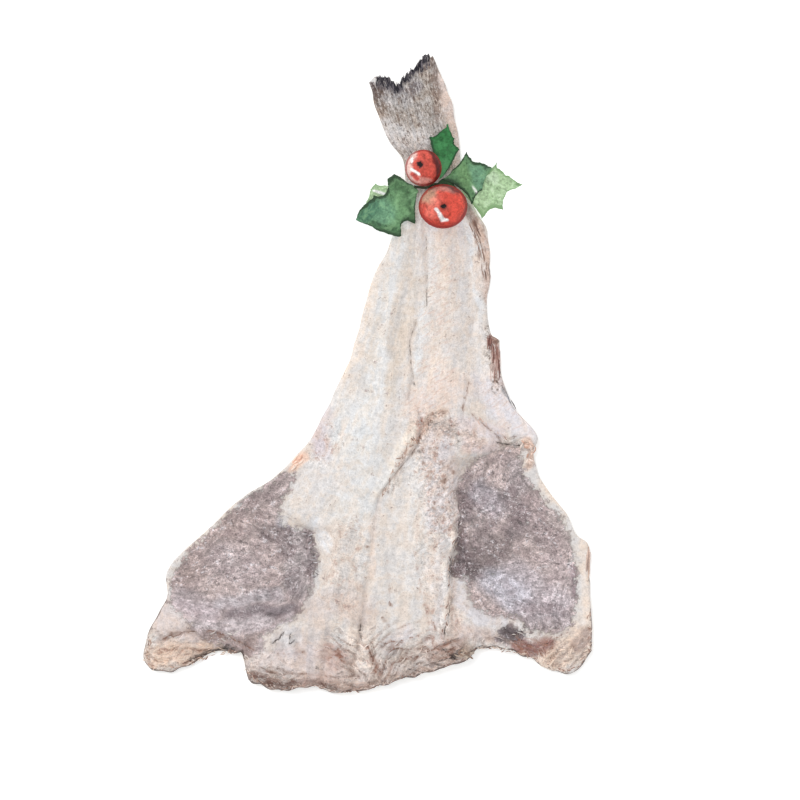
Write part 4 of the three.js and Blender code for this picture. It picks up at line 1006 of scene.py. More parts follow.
def distance_to(points, x, y, closed=False):
    """Distance from points of the plan to a line, or to the edge of an area."""
    nearest = np.full(np.shape(x), np.inf)
    ends = points[1:] + points[:1] if closed else points[1:]
    for (ax, ay), (bx, by) in zip(points, ends):
        length = (bx - ax) ** 2 + (by - ay) ** 2
        share = np.clip(((x - ax) * (bx - ax) + (y - ay) * (by - ay)) / length, 0.0, 1.0)
        nearest = np.minimum(nearest, np.hypot(x - mix(ax, bx, share), y - mix(ay, by, share)))
    return nearest


def depth_in(area, x, y):
    """How far inside an area a point lies; outside it is negative."""
    inside = np.zeros(np.shape(x), bool)
    for (ax, ay), (bx, by) in zip(area, area[1:] + area[:1]):
        crosses = (ay > y) != (by > y)
        rise = by - ay if by != ay else 1.0
        inside ^= crosses & (x < ax + (y - ay) / rise * (bx - ax))
    distance = distance_to(area, x, y, closed=True)
    return np.where(inside, distance, -distance)


# ---------------------------------------------------------------- fish: form

left_side = RaggedCurve(LEFT_SIDE, RAGGED_LEFT)
right_side = RaggedCurve(RIGHT_SIDE, RAGGED_RIGHT)
tail_line = Curve(TAIL_EDGE)
head_line = RaggedCurve(HEAD_EDGE, RAGGED_HEAD)
left_loin = Curve(LEFT_LOIN)
split = Curve(SPLIT)
right_loin = Curve(RIGHT_LOIN)
left_wall = Curve(LEFT_WALL)
right_wall = Curve(RIGHT_WALL)
loin_rise = Curve(LOIN_RISE)
left_slope = Curve(LEFT_SLOPE)
right_slope = Curve(RIGHT_SLOPE)
left_loin_edge = Curve(LEFT_LOIN_EDGE)
right_loin_edge = Curve(RIGHT_LOIN_EDGE)
split_depth = Curve(SPLIT_DEPTH)
cut_step = Curve(CUT_STEP)
grain_line = Curve(GRAIN_LINE)


def tail_edge(x):
    """The hind edge of the tail fin, with a small tip for every ray."""
    on_rays = smooth(RAYS_FROM, RAYS_FROM + RAYS_FADE, x) * smooth(RAYS_TO, RAYS_TO - RAYS_FADE, x)
    ray = np.floor(x / RAY_PITCH)
    off_centre = np.abs(2.0 * (x / RAY_PITCH - ray) - 1.0)
    tip = RAY_TIP_MEAN + RAY_TIP_SPREAD * lattice(ray, 0, RAY_TIP_SEED)
    return tail_line(x) + on_rays * tip * (1.0 - 2.0 * off_centre)


def plan_net(bands, rows, rims, crowd):
    """Plan of the net, as arrays x and y of rows by columns, from tail and left."""
    length = TAIL_CORNER_Y[0] - LOBE_CORNER_Y[0]
    even = np.arange(rows + 1) / rows
    even = even + crowd * np.sin(math.pi * even) / math.pi
    margin = rims[-1] / length
    near_rim = np.array((0.0,) + rims[:-1]) / length
    shares = np.concatenate((near_rim, margin + (1.0 - 2.0 * margin) * even, 1.0 - near_rim[::-1]))
    y_left = mix(TAIL_CORNER_Y[0], LOBE_CORNER_Y[0], shares)
    y_right = mix(TAIL_CORNER_Y[1], LOBE_CORNER_Y[1], shares)
    left = left_side(y_left)
    right = right_side(y_right)
    station = (y_left + y_right) / 2.0
    knots = (
        left + rims[-1],
        left_loin(station) - GUIDE_HALF,
        left_loin(station) + GUIDE_HALF,
        split(station),
        right_loin(station) - GUIDE_HALF,
        right_loin(station) + GUIDE_HALF,
        right - rims[-1],
    )
    cells = (bands[0], 1, bands[1], bands[2], 1, bands[3])
    columns = [left] + [left + rim for rim in rims]
    for band, count in enumerate(cells):
        for k in range(1, count + 1):
            columns.append(mix(knots[band], knots[band + 1], k / count))
    columns += [right - rim for rim in rims[-2::-1]] + [right]
    x = np.stack(columns, axis=1)
    across = (x - left[:, None]) / (right - left)[:, None]
    tail_pull = np.clip(1.0 - shares / TAIL_BLEND, 0.0, 1.0)[:, None] ** 2
    head_pull = np.clip(1.0 - (1.0 - shares) / HEAD_BLEND, 0.0, 1.0)[:, None] ** 2
    tail_offset = tail_edge(TAIL_WIDTH * across) - mix(*TAIL_CORNER_Y, across)
    head_offset = head_line(x) - mix(*LOBE_CORNER_Y, across)
    y = mix(y_left[:, None], y_right[:, None], across)
    return x, y + tail_pull * tail_offset + head_pull * head_offset


def inset(x, y):
    """Distance from a point of the fish to its outline."""
    from_left = (x - left_side(y)) / np.hypot(1.0, left_side.slope(y))
    from_right = (right_side(y) - x) / np.hypot(1.0, right_side.slope(y))
    from_tail = tail_edge(np.clip(x, 0.0, TAIL_WIDTH)) - y
    from_head = (y - head_line(x)) / np.hypot(1.0, head_line.slope(x))
    return np.maximum(0.0, np.minimum.reduce((from_left, from_right, from_tail, from_head)))


def loin_share(x, y):
    """1 on the thick loins, 0 on the thin belly walls."""
    left = smooth(-1.0, 1.0, (x - left_loin(y)) / left_slope(y))
    right = smooth(-1.0, 1.0, (right_loin(y) - x) / right_slope(y))
    return left * right


def loin_profile(x, y):
    """Height of the loins over the walls, with the split and the stepped cut."""
    middle = split(y)
    on_left = x < middle
    outer = np.where(on_left, left_loin(y), right_loin(y))
    edge = np.where(on_left, left_loin_edge(y), right_loin_edge(y))
    from_edge = (x - outer) / (middle - outer)
    climb = np.sin(math.pi / 2.0 * np.clip(from_edge / LOIN_SHOULDER, 0.0, 1.0))
    from_split = x - middle
    step = np.where(on_left, cut_step(y) * bell(from_split, CUT_STEP_REACH), 0.0)
    valley = split_depth(y) * bell(from_split, SPLIT_HALF)
    return loin_rise(y) * mix(edge, 1.0, climb) - valley + step


def features(x, y):
    """The turned-up skin, the furrows and the knobs of the solid."""
    height = SKIN_CREST_RISE * bell(distance_to(SKIN_CREST, x, y), SKIN_CREST_HALF)
    for points, depth, half in FURROWS:
        height = height - depth * bell(distance_to(points, x, y), half)
    for (at_x, at_y), rise, radius in KNOBS:
        height = height + rise * bell(np.hypot(x - at_x, y - at_y), radius)
    return height


def coarse_roughness(x, y, on_loin):
    """Flakes, fin rays, wrinkles and crags of the solid."""
    across = x - grain_line(y)
    finless = smooth(TAIL_CORNER_Y[0], TAIL_LIFT_FROM, y)
    flakes = relief(FLAKE, across, y) * mix(FLAKE_ON_WALLS, 1.0, on_loin) * finless
    rays = ray_ridges(x, y)
    wrinkled = (1.0 - on_loin) * smooth(WRINKLES_NONE, WRINKLES_FULL, y)
    wrinkles = wrinkled * relief(WRINKLE, y + WRINKLE_SLANT * across, across)
    crags = smooth(CRAGS_NONE, CRAGS_FULL, y) * relief(CRAG, x, y)
    return flakes + rays + wrinkles + crags


def guide_distance(x, y):
    """Distance to the nearest line that the fibres follow."""
    return np.minimum.reduce([distance_to(line, x, y) for line in GUIDES])


def folded(x, y):
    """Folds side by side along the guide lines, from -1 to 1."""
    drift, length, seed = FOLD_DRIFT
    turns = guide_distance(x, y) / FOLD_PITCH + drift * noise(x / length, y / length, seed)
    return np.sin(2.0 * math.pi * turns)


def ray_ridges(x, y):
    """The even ridges of the fin rays."""
    fin_x = x + RAY_LEAN * (TAIL_CORNER_Y[0] - y)
    finless = smooth(TAIL_CORNER_Y[0], TAIL_LIFT_FROM, y)
    return RAY_RIDGE * np.cos(2.0 * math.pi * fin_x / RAY_PITCH) * (1.0 - finless)


def craggy(x, y, on_loin):
    """How much of a point belongs to the shredded head end and lobes."""
    shredded = smooth(SHREDS_NONE, SHREDS_FULL, y) * mix(SHREDS_ON_LOBES, 1.0, on_loin)
    return np.maximum(shredded * (1.0 - share_of(CALM, x, y)), share_of(CRAGGED, x, y))


def fine_roughness(x, y, on_loin):
    """Fibres, pebbling, creases, folds and shreds that the solid leaves out."""
    across = x - grain_line(y)
    finless = smooth(TAIL_CORNER_Y[0], TAIL_LIFT_FROM, y)
    height = relief(FIBRE, across, y) * mix(FIBRES_ON_WALLS[0], 1.0, on_loin) * finless
    height = height + relief(PEBBLE, x, y) * finless
    height = height + relief(RIPPLE, y, x) * (1.0 - on_loin) * smooth(0.0, WRINKLES_NONE, y)
    fin_x = x + RAY_LEAN * (TAIL_CORNER_Y[0] - y)
    height = height - RAYS_EVENED * ray_ridges(x, y)
    height = height + relief(RAY_RELIEF, fin_x, y) * (1.0 - finless)
    shredded = FOLD_RISE * folded(x, y) + relief(KNOT_RELIEF, x, y)
    height = height + shredded * craggy(x, y, on_loin)
    for points, depth, half in CREASES:
        height = height - depth * bell(distance_to(points, x, y), half)
    for points, rise, half in FOLDS:
        height = height + rise * bell(distance_to(points, x, y), half)
    return height


def underside(x, y):
    """Height of the skin face: flat under the loins, lifted at the walls and the tail."""
    to_left = left_loin(y) + GROUND_MARGIN
    to_right = right_loin(y) - GROUND_MARGIN
    beyond_left = (to_left - x) / (to_left - left_side(y))
    beyond_right = (x - to_right) / (right_side(y) - to_right)
    beyond = np.clip(np.maximum(beyond_left, beyond_right), 0.0, 1.0)
    phase = (2.0 * math.pi * y + x) / LIFT_WAVE_LENGTH
    wave = 1.0 - LIFT_WAVE_SHARE * (1.0 - np.sin(phase))
    on_walls = smooth(WALL_LIFT_NONE, WALL_LIFT_FULL, y)
    walls = WALL_LIFT * on_walls * smooth(0.0, 1.0, beyond) * wave
    return walls + TAIL_LIFT * smooth(TAIL_LIFT_FROM, TAIL_CORNER_Y[0], y)


def faces_at(x, y, fine):
    """Heights of the flesh face and of the skin face at points of the fish."""
    on_loin = loin_share(x, y)
    between = smooth(left_loin(y), right_loin(y), x)
    solid = mix(left_wall(y), right_wall(y), between) + on_loin * loin_profile(x, y)
    solid = solid + features(x, y) + coarse_roughness(x, y, on_loin)
    if fine:
        solid = solid + fine_roughness(x, y, on_loin)
    full = np.maximum(solid, LEAST_THICKNESS)
    at_neck = on_loin * smooth(NECK_NONE, NECK_FULL, y)
    depth = np.clip(inset(x, y) / mix(RIM_ROUND, NECK_ROUND, at_neck), 0.0, 1.0)
    kept = mix(RIM_SHARE, 1.0, np.sqrt(1.0 - (1.0 - depth) ** 2))
    bottom = underside(x, y) + full * (1.0 - kept) * RIM_SHARE
    return bottom + full * kept, bottom


def place_of_plan():
    """What to add to the plan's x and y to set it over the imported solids."""
    x, y = plan_net(**SOLID_NET)
    low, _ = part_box("cod")
    _, bottom = faces_at(x, y, fine=False)
    return np.array((low.x - x.min(), low.y - y.min(), low.z - bottom[::2, ::2].min()))


PLACE = place_of_plan()


# ---------------------------------------------------------------- meshes


def rim_of(index):
    """Corners round a net of indices, counter-clockwise seen from above."""
    return np.concatenate((index[:-1, 0], index[-1, :-1], index[:0:-1, -1], index[0, :0:-1]))


def quads_of(index):
    corners = (index[:-1, :-1], index[1:, :-1], index[1:, 1:], index[:-1, 1:])
    return np.stack(corners, axis=-1).reshape(-1, 4)


def mesh_object(name, points, faces):
    mesh = bpy.data.meshes.new(name)
    mesh.from_pydata([tuple(point) for point in points], [], [tuple(map(int, face)) for face in faces])
    mesh.update()
    mesh.shade_smooth()
    made = bpy.data.objects.new(name, mesh)
    bpy.context.scene.collection.objects.link(made)
    return made


def set_colours(mesh, name, colours):
    layer = mesh.color_attributes.new(name, "FLOAT_COLOR", "POINT")
    layer.data.foreach_set("color", np.asarray(colours, np.float32).ravel())


def set_uv(mesh, name, u, v):
    corners = np.empty(len(mesh.loops), np.int32)
    mesh.loops.foreach_get("vertex_index", corners)
    layer = mesh.uv_layers.new(name=name)
    uv = np.stack((u[corners], v[corners]), axis=1)
    layer.data.foreach_set("uv", uv.astype(np.float32).ravel())


def warped(x, y, waves):
    """Points of the plan in millimetres, shifted by waves so that painted edges wander."""
    to_x = x
    to_y = y
    for height, length, seed in waves:
        to_x = to_x + height * noise(x / length, y / length, seed)
        to_y = to_y + height * noise(x / length, y / length, seed + 1)
    return to_x / MM, to_y / MM


def even_colour(colour, count):
    return np.tile(linear(colour), (count, 1))


def paint(colours, patches, x, y):
    """Linear colours at points of the plan, with bands of local tint laid over them."""
    at_x, at_y = warped(x, y, WARP)
    for points, half, colour, strength in patches:
        away = distance_to(points, at_x, at_y) / half
        weight = strength * smooth(*BAND_FADE[::-1], away)
        colours = mix(colours, linear(colour), weight[:, None])
    return colours


def share_of(bands, x, y):
    """0 to 1: how strongly a point belongs to any of the bands."""
    at_x, at_y = warped(x, y, WARP)
    strongest = np.zeros(np.shape(x))
    for points, half, strength in bands:
        away = distance_to(points, at_x, at_y) / half
        strongest = np.maximum(strongest, strength * smooth(*BAND_FADE[::-1], away))
    return strongest


def signed_distance(lines, x, y):
    """Distance to the nearest line, positive on its left and negative on its right."""
    nearest = np.full(np.shape(x), np.inf)
    signed = np.full(np.shape(x), np.inf)
    for points, _, _ in lines:
        for (ax, ay), (bx, by) in zip(points, points[1:]):
            away = distance_to(((ax, ay), (bx, by)), x, y)
            side = np.where((bx - ax) * (y - ay) > (by - ay) * (x - ax), 1.0, -1.0)
            signed = np.where(away < nearest, side * away, signed)
            nearest = np.minimum(nearest, away)
    return signed


def marks(lines, x, y):
    """The strength of thin lines and spots, fading over MARK_REACH beside them."""
    at_x, at_y = warped(x, y, WARP[1:])
    strongest = np.zeros(len(x))
    for points, half, strength in lines:
        away = np.maximum(distance_to(points, at_x, at_y) - half, 0.0)
        strongest = np.maximum(strongest, strength - away / MARK_REACH)
    return strongest


def blurred(heights, passes):
    """Heights evened out over their neighbours, so many times."""
    for _ in range(passes):
        padded = np.pad(heights, 1, mode="edge")
        heights = (padded[:-2, 1:-1] + padded[2:, 1:-1] + padded[1:-1, :-2] + padded[1:-1, 2:]) / 4.0
    return heights


def side_wall(x, y, top, bottom, rim, count):
    """Corners and indices of the bulging rings between the flesh face and the skin face."""
    rim_x, rim_y = x.ravel()[rim], y.ravel()[rim]
    rim_top, rim_bottom = top.ravel()[rim], bottom.ravel()[rim]
    ahead_x = np.roll(rim_x, -1) - np.roll(rim_x, 1)
    ahead_y = np.roll(rim_y, -1) - np.roll(rim_y, 1)
    length = np.maximum(np.hypot(ahead_x, ahead_y), TINY)
    points = []
    rings = [rim]
    for share in WALL_RINGS:
        bulge = WALL_BULGE * (rim_top - rim_bottom) * math.sin(math.pi * share)
        ring_x = rim_x + bulge * ahead_y / length
        ring_y = rim_y - bulge * ahead_x / length
        points.append(np.stack((ring_x, ring_y, mix(rim_top, rim_bottom, share)), axis=-1))
        rings.append(count + np.arange(len(rim)))
        count += len(rim)
    return points, rings


def stitches(upper, lower):
    """Triangles between a ring and the one below it, which has half as many corners."""
    next_lower = np.roll(lower, -1)
    first, second, third = upper[0::2], upper[1::2], np.roll(upper[0::2], -1)
    triangles = ((lower, second, first), (lower, next_lower, second), (next_lower, third, second))
    return np.concatenate([np.stack(corners, axis=-1) for corners in triangles])


def fish_shape():
    """The fish's corners, its flesh faces, its skin faces, and how hollow each corner lies."""
    x, y = plan_net(**FINE_NET)
    top, bottom = faces_at(x, y, fine=True)
    count = x.size
    upper = np.arange(count).reshape(x.shape)
    kept = np.zeros(x.shape, bool)
    kept[::2, ::2] = True
    lower = np.full(x.shape, -1)
    lower[kept] = count + np.arange(kept.sum())
    wall, rings = side_wall(x, y, top, bottom, rim_of(upper), count + kept.sum())
    face = np.stack((x, y, top), axis=-1).reshape(-1, 3)
    back = np.stack((x[kept], y[kept], bottom[kept]), axis=-1)
    points = np.concatenate((face, back, *wall))

    flesh = [quads_of(upper)]
    for above, below in zip(rings[:-1], rings[1:]):
        flesh.append(np.stack((above, below, np.roll(below, -1), np.roll(above, -1)), axis=-1))
    skin = quads_of(lower[::2, ::2])[:, ::-1]
    seam = stitches(rings[-1], rim_of(lower[::2, ::2]))
    # How hollow each corner lies, for the painted shade in hollows.
    hollow = np.zeros(len(points))
    hollow[:count] = ((blurred(top, CAVITY_PASSES) - top) / CAVITY_SCALE).ravel()
    return points, np.concatenate(flesh), [*skin, *seam], hollow


def tint_fish(mesh, settings, px, py, on_loin):
    """Stores the fish's tints; gives back how far each corner lies in the linings."""
    tail_share = smooth(TAIL_FROM, TAIL_FULL, py)
    flesh_tint = even_colour(srgb(settings.flesh), len(px))
    flesh_tint = mix(flesh_tint, linear(TAIL_COLOUR), tail_share[:, None])
    flesh_tint = paint(flesh_tint, FLESH_TINTS + TAIL_TINTS, px, py)
    fibres = mix(FIBRES_ON_WALLS[1], 1.0, on_loin)
    set_colours(mesh, "flesh_tint", np.column_stack((flesh_tint, fibres)))

    linings = (LEFT_MEMBRANE, RIGHT_MEMBRANE, LINING_SCRAP)
    depth = np.maximum.reduce([depth_in(area, px, py) for area in linings])
    ramp = np.clip(0.5 + depth / MEMBRANE_RAMP, 0.0, 1.0)
    membrane_tint = paint(even_colour(MEMBRANE_COLOUR, len(px)), MEMBRANE_TINTS, px, py)
    set_colours(mesh, "membrane_tint", np.column_stack((membrane_tint, ramp)))
    return ramp


def mark_fish(mesh, px, py, on_loin):
    """Stores the fish's lines (dark ones painted shade), stain marks, crevices, folds and dark tips."""
    tail_share = smooth(TAIL_FROM, TAIL_FULL, py)
    from_tail_edge = tail_edge(np.clip(px, 0.0, TAIL_WIDTH)) - py
    tips = np.clip(1.0 - from_tail_edge / TIP_REACH, 0.0, 1.0) * smooth(*TIPS_ACROSS, px)
    tips = tips * smooth(*TIPS_START, px)
    set_colours(mesh, "lines", np.column_stack(
        (marks(DARK_LINES, px, py), marks(BROWN_LINES, px, py), tips, tail_share)
    ))

    from_rim = inset(px, py)
    dark_rim = smooth(DARK_RIM_NONE, DARK_RIM_FULL, py) * np.clip(1.0 - from_rim / DARK_RIM, 0.0, 1.0)
    set_colours(mesh, "stains", np.column_stack(
        (share_of(HATCHED, px, py), share_of(SPECKED, px, py), craggy(px, py, on_loin), dark_rim)
    ))

    # Lengths stored on the mesh are in millimetres.
    set_colours(mesh, "cracks", np.column_stack(
        (signed_distance(DARK_LINES, px / MM, py / MM), signed_distance(BROWN_LINES, px / MM, py / MM),
         marks(DARK_SPOTS, px, py), marks(BROWN_SPOTS, px, py))
    ))
    set_colours(mesh, "folds", np.column_stack(
        (guide_distance(px, py) / MM, 0.5 + 0.5 * folded(px, py),
         share_of(REDDISH, px, py), share_of(SILKY, px, py))
    ))


def cod_mesh(settings):
    """The fish as one closed mesh, with its colours and streak direction stored on it."""
    points, flesh, skin, hollow = fish_shape()
    made = mesh_object("salted_cod", points + PLACE, [*flesh, *skin])
    mesh = made.data
    skin_index = np.zeros(len(mesh.polygons), np.int32)
    skin_index[len(flesh):] = 1
    mesh.polygons.foreach_set("material_index", skin_index)

    px, py = points[:, 0], points[:, 1]
    left, right = left_side(py), right_side(py)
    width = np.maximum(right - left, LEAST_WIDTH)
    set_uv(mesh, "flow", (px - grain_line(py)) * np.sqrt(FLOW_WIDTH / width), py)
    set_uv(mesh, "fan", (px - left) / width, py)

    on_loin = loin_share(px, py)
    ramp = tint_fish(mesh, settings, px, py, on_loin)
    mark_fish(mesh, px, py, on_loin)
    clumps = noise(px / SALT_CLUMP, py / SALT_CLUMP, SALT_SEED)
    clumps = clumps + noise(px / SALT_CLUSTER, py / SALT_CLUSTER, SALT_SEED + 1)
    salt = mix(SALT_ON_FLESH, 1.0, smooth(*SALT_EDGE, ramp)) * smooth(*SALT_CLUMPED, clumps)
    # The shape colour holds how hollow each corner lies (for painted shade), the stringy share, salt and
    # loin share.
    set_colours(mesh, "shape", np.column_stack(
        (np.clip(0.5 + 0.5 * hollow, 0, 1), share_of(STRINGY, px, py), salt, on_loin)
    ))
    return made


# ---------------------------------------------------------------- material trees


class Field:
    """What a node of a material gives out; arithmetic on it adds further nodes."""

    def __init__(self, tree, socket):
        self.tree = tree
        self.socket = socket

    def __add__(self, other):
        return self.tree.maths("ADD", self, other)

    def __mul__(self, other):
        return self.tree.maths("MULTIPLY", self, other)

    def spread(self, amount, centre=0.0):
        """A cloud's value turned into centre plus or minus about half the amount."""
        return self.tree.maths("MULTIPLY_ADD", self, amount, centre - amount / 2.0)

    def off_middle(self):
        """How far a cloud's value is from its middle: 0 along winding lines."""
        return self.tree.maths("ABSOLUTE", self + -0.5)

    def ramp(self, low, high, to_low=0.0, to_high=1.0):
        """The value carried smoothly from the span of the first two to that of the others."""
        ends = {"Value": self, "From Min": low, "From Max": high, "To Min": to_low, "To Max": to_high}
        return self.tree.field("MapRange", "Result", ends, interpolation_type="SMOOTHSTEP")


class Tree:
    """A material's nodes, built call by call; every call gives back a field."""

    def __init__(self, name, **surface):
        self.material = bpy.data.materials.new(name)
        self.material.use_nodes = True
        self.nodes = self.material.node_tree.nodes
        self.links = self.material.node_tree.links
        self.surface = self.nodes["Principled BSDF"].inputs
        for socket, value in surface.items():
            self.surface[socket.replace("_", " ")].default_value = value

    def feed(self, socket, value):
        if isinstance(value, Field):
            self.links.new(value.socket, socket)
        else:
            socket.default_value = value

    def node(self, kind, inputs, **settings):
        made = self.nodes.new("ShaderNode" + kind)
        for name, value in settings.items():
            setattr(made, name, value)
        for name, value in inputs.items():
            self.feed(made.inputs[name], value)
        return made

    def field(self, kind, output, inputs, **settings):
        """Adds a node with its inputs and settings, and gives back one of its outputs."""
        return Field(self, self.node(kind, inputs, **settings).outputs[output])

    def maths(self, operation, *values):
        return self.field("Math", 0, dict(enumerate(values)), operation=operation)

    def attribute(self, name):
        """A stored colour, and its four channels."""
        stored = self.node("Attribute", {}, attribute_name=name).outputs
        colour = Field(self, stored["Color"])
        parts = self.node("SeparateColor", {0: colour}).outputs
        return colour, [Field(self, channel) for channel in (*parts, stored["Alpha"])]

    def uv(self, name):
        return self.field("UVMap", "UV", {}, uv_map=name)

    def place(self, scale, uv=None):
        """Object coordinates, or a UV map, multiplied by a scale or by one for each axis."""
        source = self.uv(uv) if uv else self.field("TexCoord", "Object", {})
        if isinstance(scale, float):
            scale = (scale, scale, scale)
        return self.field("Mapping", "Vector", {"Vector": source, "Scale": scale})

    def parts(self, vector):
        """The x, y and z of a vector."""
        return [Field(self, part) for part in self.node("SeparateXYZ", {0: vector}).outputs]

    def stack(self, x, y, z):
        return self.field("CombineXYZ", 0, {0: x, 1: y, 2: z})

    def cloud(self, vector, detail=3.0, roughness=0.5, distortion=0.0):
        """Soft noise between 0 and 1, in the units of the vector."""
        inputs = {"Vector": vector, "Scale": 1.0, "Detail": detail, "Roughness": roughness}
        return self.field("TexNoise", "Fac", {**inputs, "Distortion": distortion})

    def cells(self, vector):
        """Distance to the nearest of scattered points, in the units of the vector."""
        return self.field("TexVoronoi", "Distance", {"Vector": vector, "Scale": 1.0})

    def blend(self, share, a, b, mode="MIX"):
        """Two colours, each a field or sRGB values, mixed or multiplied by a share."""
        a = a if isinstance(a, Field) else rgba(a)
        b = b if isinstance(b, Field) else rgba(b)
        inputs = {"Factor": share, 6: a, 7: b}
        return self.field("Mix", 2, inputs, data_type="RGBA", blend_type=mode)

    def brighten(self, colour, factor):
        """A colour times a grey factor."""
        grey = self.field("CombineColor", 0, {0: factor, 1: factor, 2: factor})
        return self.blend(1.0, colour, grey, "MULTIPLY")

    def colour(self, value):
        self.feed(self.surface["Base Color"], value)

    def bump(self, height, distance, strength=1.0):
        inputs = {"Height": height, "Distance": distance, "Strength": strength}
        self.feed(self.surface["Normal"], self.field("Bump", "Normal", inputs))


class FleshTree(Tree):
    """The dried flesh and its linings: one method for each kind of place."""

    def __init__(self):
        super().__init__("dried_flesh", Roughness=0.62, Specular_IOR_Level=0.25)
        self.flesh_tint, (_, _, _, self.fibres) = self.attribute("flesh_tint")
        self.membrane_tint, (_, _, _, self.membrane) = self.attribute("membrane_tint")
        _, (self.dark, self.brown, self.tips, self.tail) = self.attribute("lines")
        _, (self.hatched, self.specked, self.craggy_share, self.dark_rim) = self.attribute("stains")
        _, (self.hollow, self.stringy, _, _) = self.attribute("shape")
        _, (self.guide, self.wave, self.reddish, self.silky) = self.attribute("folds")
        _, (self.dark_side, self.brown_side, self.dark_spot, self.brown_spot) = self.attribute("cracks")

        self.grains = self.cloud(self.place(640.0), 2.0, 0.75)
        self.mottles = self.cloud(self.place(230.0), 4.0, 0.65)
        self.patches = self.cloud(self.place(95.0), 4.0, 0.6, 0.4)
        self.blotches = self.cloud(self.place(45.0), 4.0, 0.6, 0.3)
        self.fine_fibres = self.cloud(self.place((330.0, 60.0, 1.0), "flow"), 3.0, 0.6, 0.6)
        self.broad_fibres = self.cloud(self.place((120.0, 16.0, 1.0), "flow"), 3.0, 0.55, 0.5)

        # Strands that run along the guide lines.
        self.here_x, self.here_y, _ = self.parts(self.place(85.0))
        self.strands = self.cloud(self.stack(self.guide * 0.26, self.here_x, self.here_y), 4.0, 0.65, 0.5)

        # More clouds, and masks that several kinds of place share.
        self.crinkles = self.cloud(self.place((150.0, 190.0, 150.0)), 6.0, 0.72, 1.4)
        self.spots = self.cloud(self.place((70.0, 90.0, 70.0)), 5.0, 0.72, 0.8)
        along_guide = self.stack(self.guide * 0.13, self.here_x * 0.35, self.here_y * 0.35)
        self.bands = self.cloud(along_guide, 5.0, 0.65, 1.0)
        self.salty = (self.spots + self.bands.spread(0.7)).ramp(0.42, 0.6, 0.35, 1.1)
        self.salty = self.salty * self.silky.spread(-0.75, 0.625)
        self.worn = self.maths("MAXIMUM", self.tail, self.stringy)
        self.noisy = self.mottles.spread(0.9) + self.grains.spread(0.7) + self.patches.spread(0.8)
        self.lace = self.strands.off_middle()
        self.net = self.mottles.off_middle()
        edge = self.membrane + self.mottles.spread(1.7) + self.patches.spread(1.2)
        edge = edge + self.grains.spread(0.8) + self.strands.spread(1.0)
        self.on_membrane = edge.ramp(0.33, 0.67)

    def flesh(self):
        """Soft streaks along the fish, warm and cool patches."""
        streaks = self.fine_fibres.spread(0.34) + self.broad_fibres.spread(0.24)
        value = streaks * self.fibres + self.blotches.spread(0.14, 1.0)
        warmth = (self.patches + self.broad_fibres.spread(0.8)).ramp(0.32, 0.68)
        flesh = self.blend(warmth, (248, 251, 255), (255, 250, 245))
        flesh = self.blend(1.0, self.flesh_tint, flesh, "MULTIPLY")
        flesh = self.brighten(flesh, value)
        tawny = self.patches + self.broad_fibres.spread(0.8) + self.mottles.spread(0.5)
        tawny = tawny.ramp(0.52, 0.74)
        flesh = self.blend(tawny * self.specked.spread(0.5, 0.42), flesh, (210, 190, 177))
        flesh = self.brighten(flesh, self.mottles.spread(0.22, 1.0))
        return flesh

    def lines_and_flecks(self, flesh):
        """Fine pink lines that run across the fibres, and reddish-brown specks."""
        along = self.here_x * 0.9 + self.here_y * 0.6
        beside = self.here_x * -2.6 + self.here_y * 3.8
        slanted = self.cloud(self.stack(along, beside, 0.0), 3.0, 0.6, 0.8)
        lines = slanted.ramp(0.48, 0.66) * self.hatched
        flesh = self.blend(lines * 0.6, flesh, (216, 186, 172))
        flecks = self.cloud(self.place(260.0), 3.0, 0.6) + self.patches.spread(0.6)
        flecks = flecks.ramp(0.54, 0.72) * self.specked
        flesh = self.blend(flecks * 0.8, flesh, (176, 140, 128))
        return flesh

    def lining(self):
        """Crinkled grey and mauve lining under salt dust."""
        shade = self.spots.spread(1.0) + self.crinkles.spread(0.9, 1.03)
        shade = shade + self.strands.spread(1.6) + self.bands.spread(1.7)
        hairs = self.strands.off_middle().ramp(0.0, 0.05, 0.84, 1.02)
        pits = hairs * self.crinkles.off_middle().ramp(0.02, 0.15, 1.12, 0.9)
        lining = self.brighten(self.membrane_tint, shade * pits)
        purple = (self.patches + self.bands.spread(0.8)).ramp(0.42, 0.66)
        lining = self.blend(purple * 0.45, lining, (140, 122, 124))
        dust = self.cloud(self.place(260.0), 5.0, 0.8, 0.6)
        dusted = dust + self.spots.spread(0.5) + self.strands.spread(0.5)
        dusted = dusted.ramp(0.55, 0.68) * 0.8 * self.salty
        lining = self.blend(dusted, lining, (226, 219, 222))
        return lining

    def fin(self, colour):
        """Tail fin and strips of skin: specks along the rays and ragged dark tips."""
        strokes = self.cloud(self.place((50.0, 300.0, 1.0), "fan"), 4.0, 0.70, 0.3)
        rays = self.cloud(self.place((34.0, 12.0, 1.0), "fan"), 3.0, 0.6, 0.2)
        strokes = strokes + rays.spread(0.45) + self.patches.spread(0.45)
        across, _, _ = self.parts(self.uv("fan"))
        rough = self.maths("MAXIMUM", across.ramp(0.82, 0.92, 1.0, 0.15), self.stringy)
        dark_strokes = strokes.ramp(0.5, 0.66) * self.worn * rough
        colour = self.blend(dark_strokes * 0.9, colour, (98, 82, 74))
        pale = strokes.ramp(0.49, 0.34) * self.worn
        colour = self.blend(pale * 0.7, colour, (220, 212, 208))
        tip_strokes = self.cloud(self.place((30.0, 110.0, 1.0), "fan"), 4.0, 0.7)
        tip_mask = self.tips + tip_strokes.spread(2.6) + self.mottles.spread(1.1)
        tip_mask = tip_mask + self.patches.spread(1.8)
        smoky = tip_mask.ramp(0.15, 0.6) * self.tips.ramp(0.0, 0.2)
        colour = self.blend(smoky * 0.55, colour, (112, 108, 116))
        tip_mask = tip_mask.ramp(0.44, 0.74) * self.tips.ramp(0.0, 0.2)
        colour = self.blend(tip_mask * 0.92, colour, (40, 39, 48))
        return colour

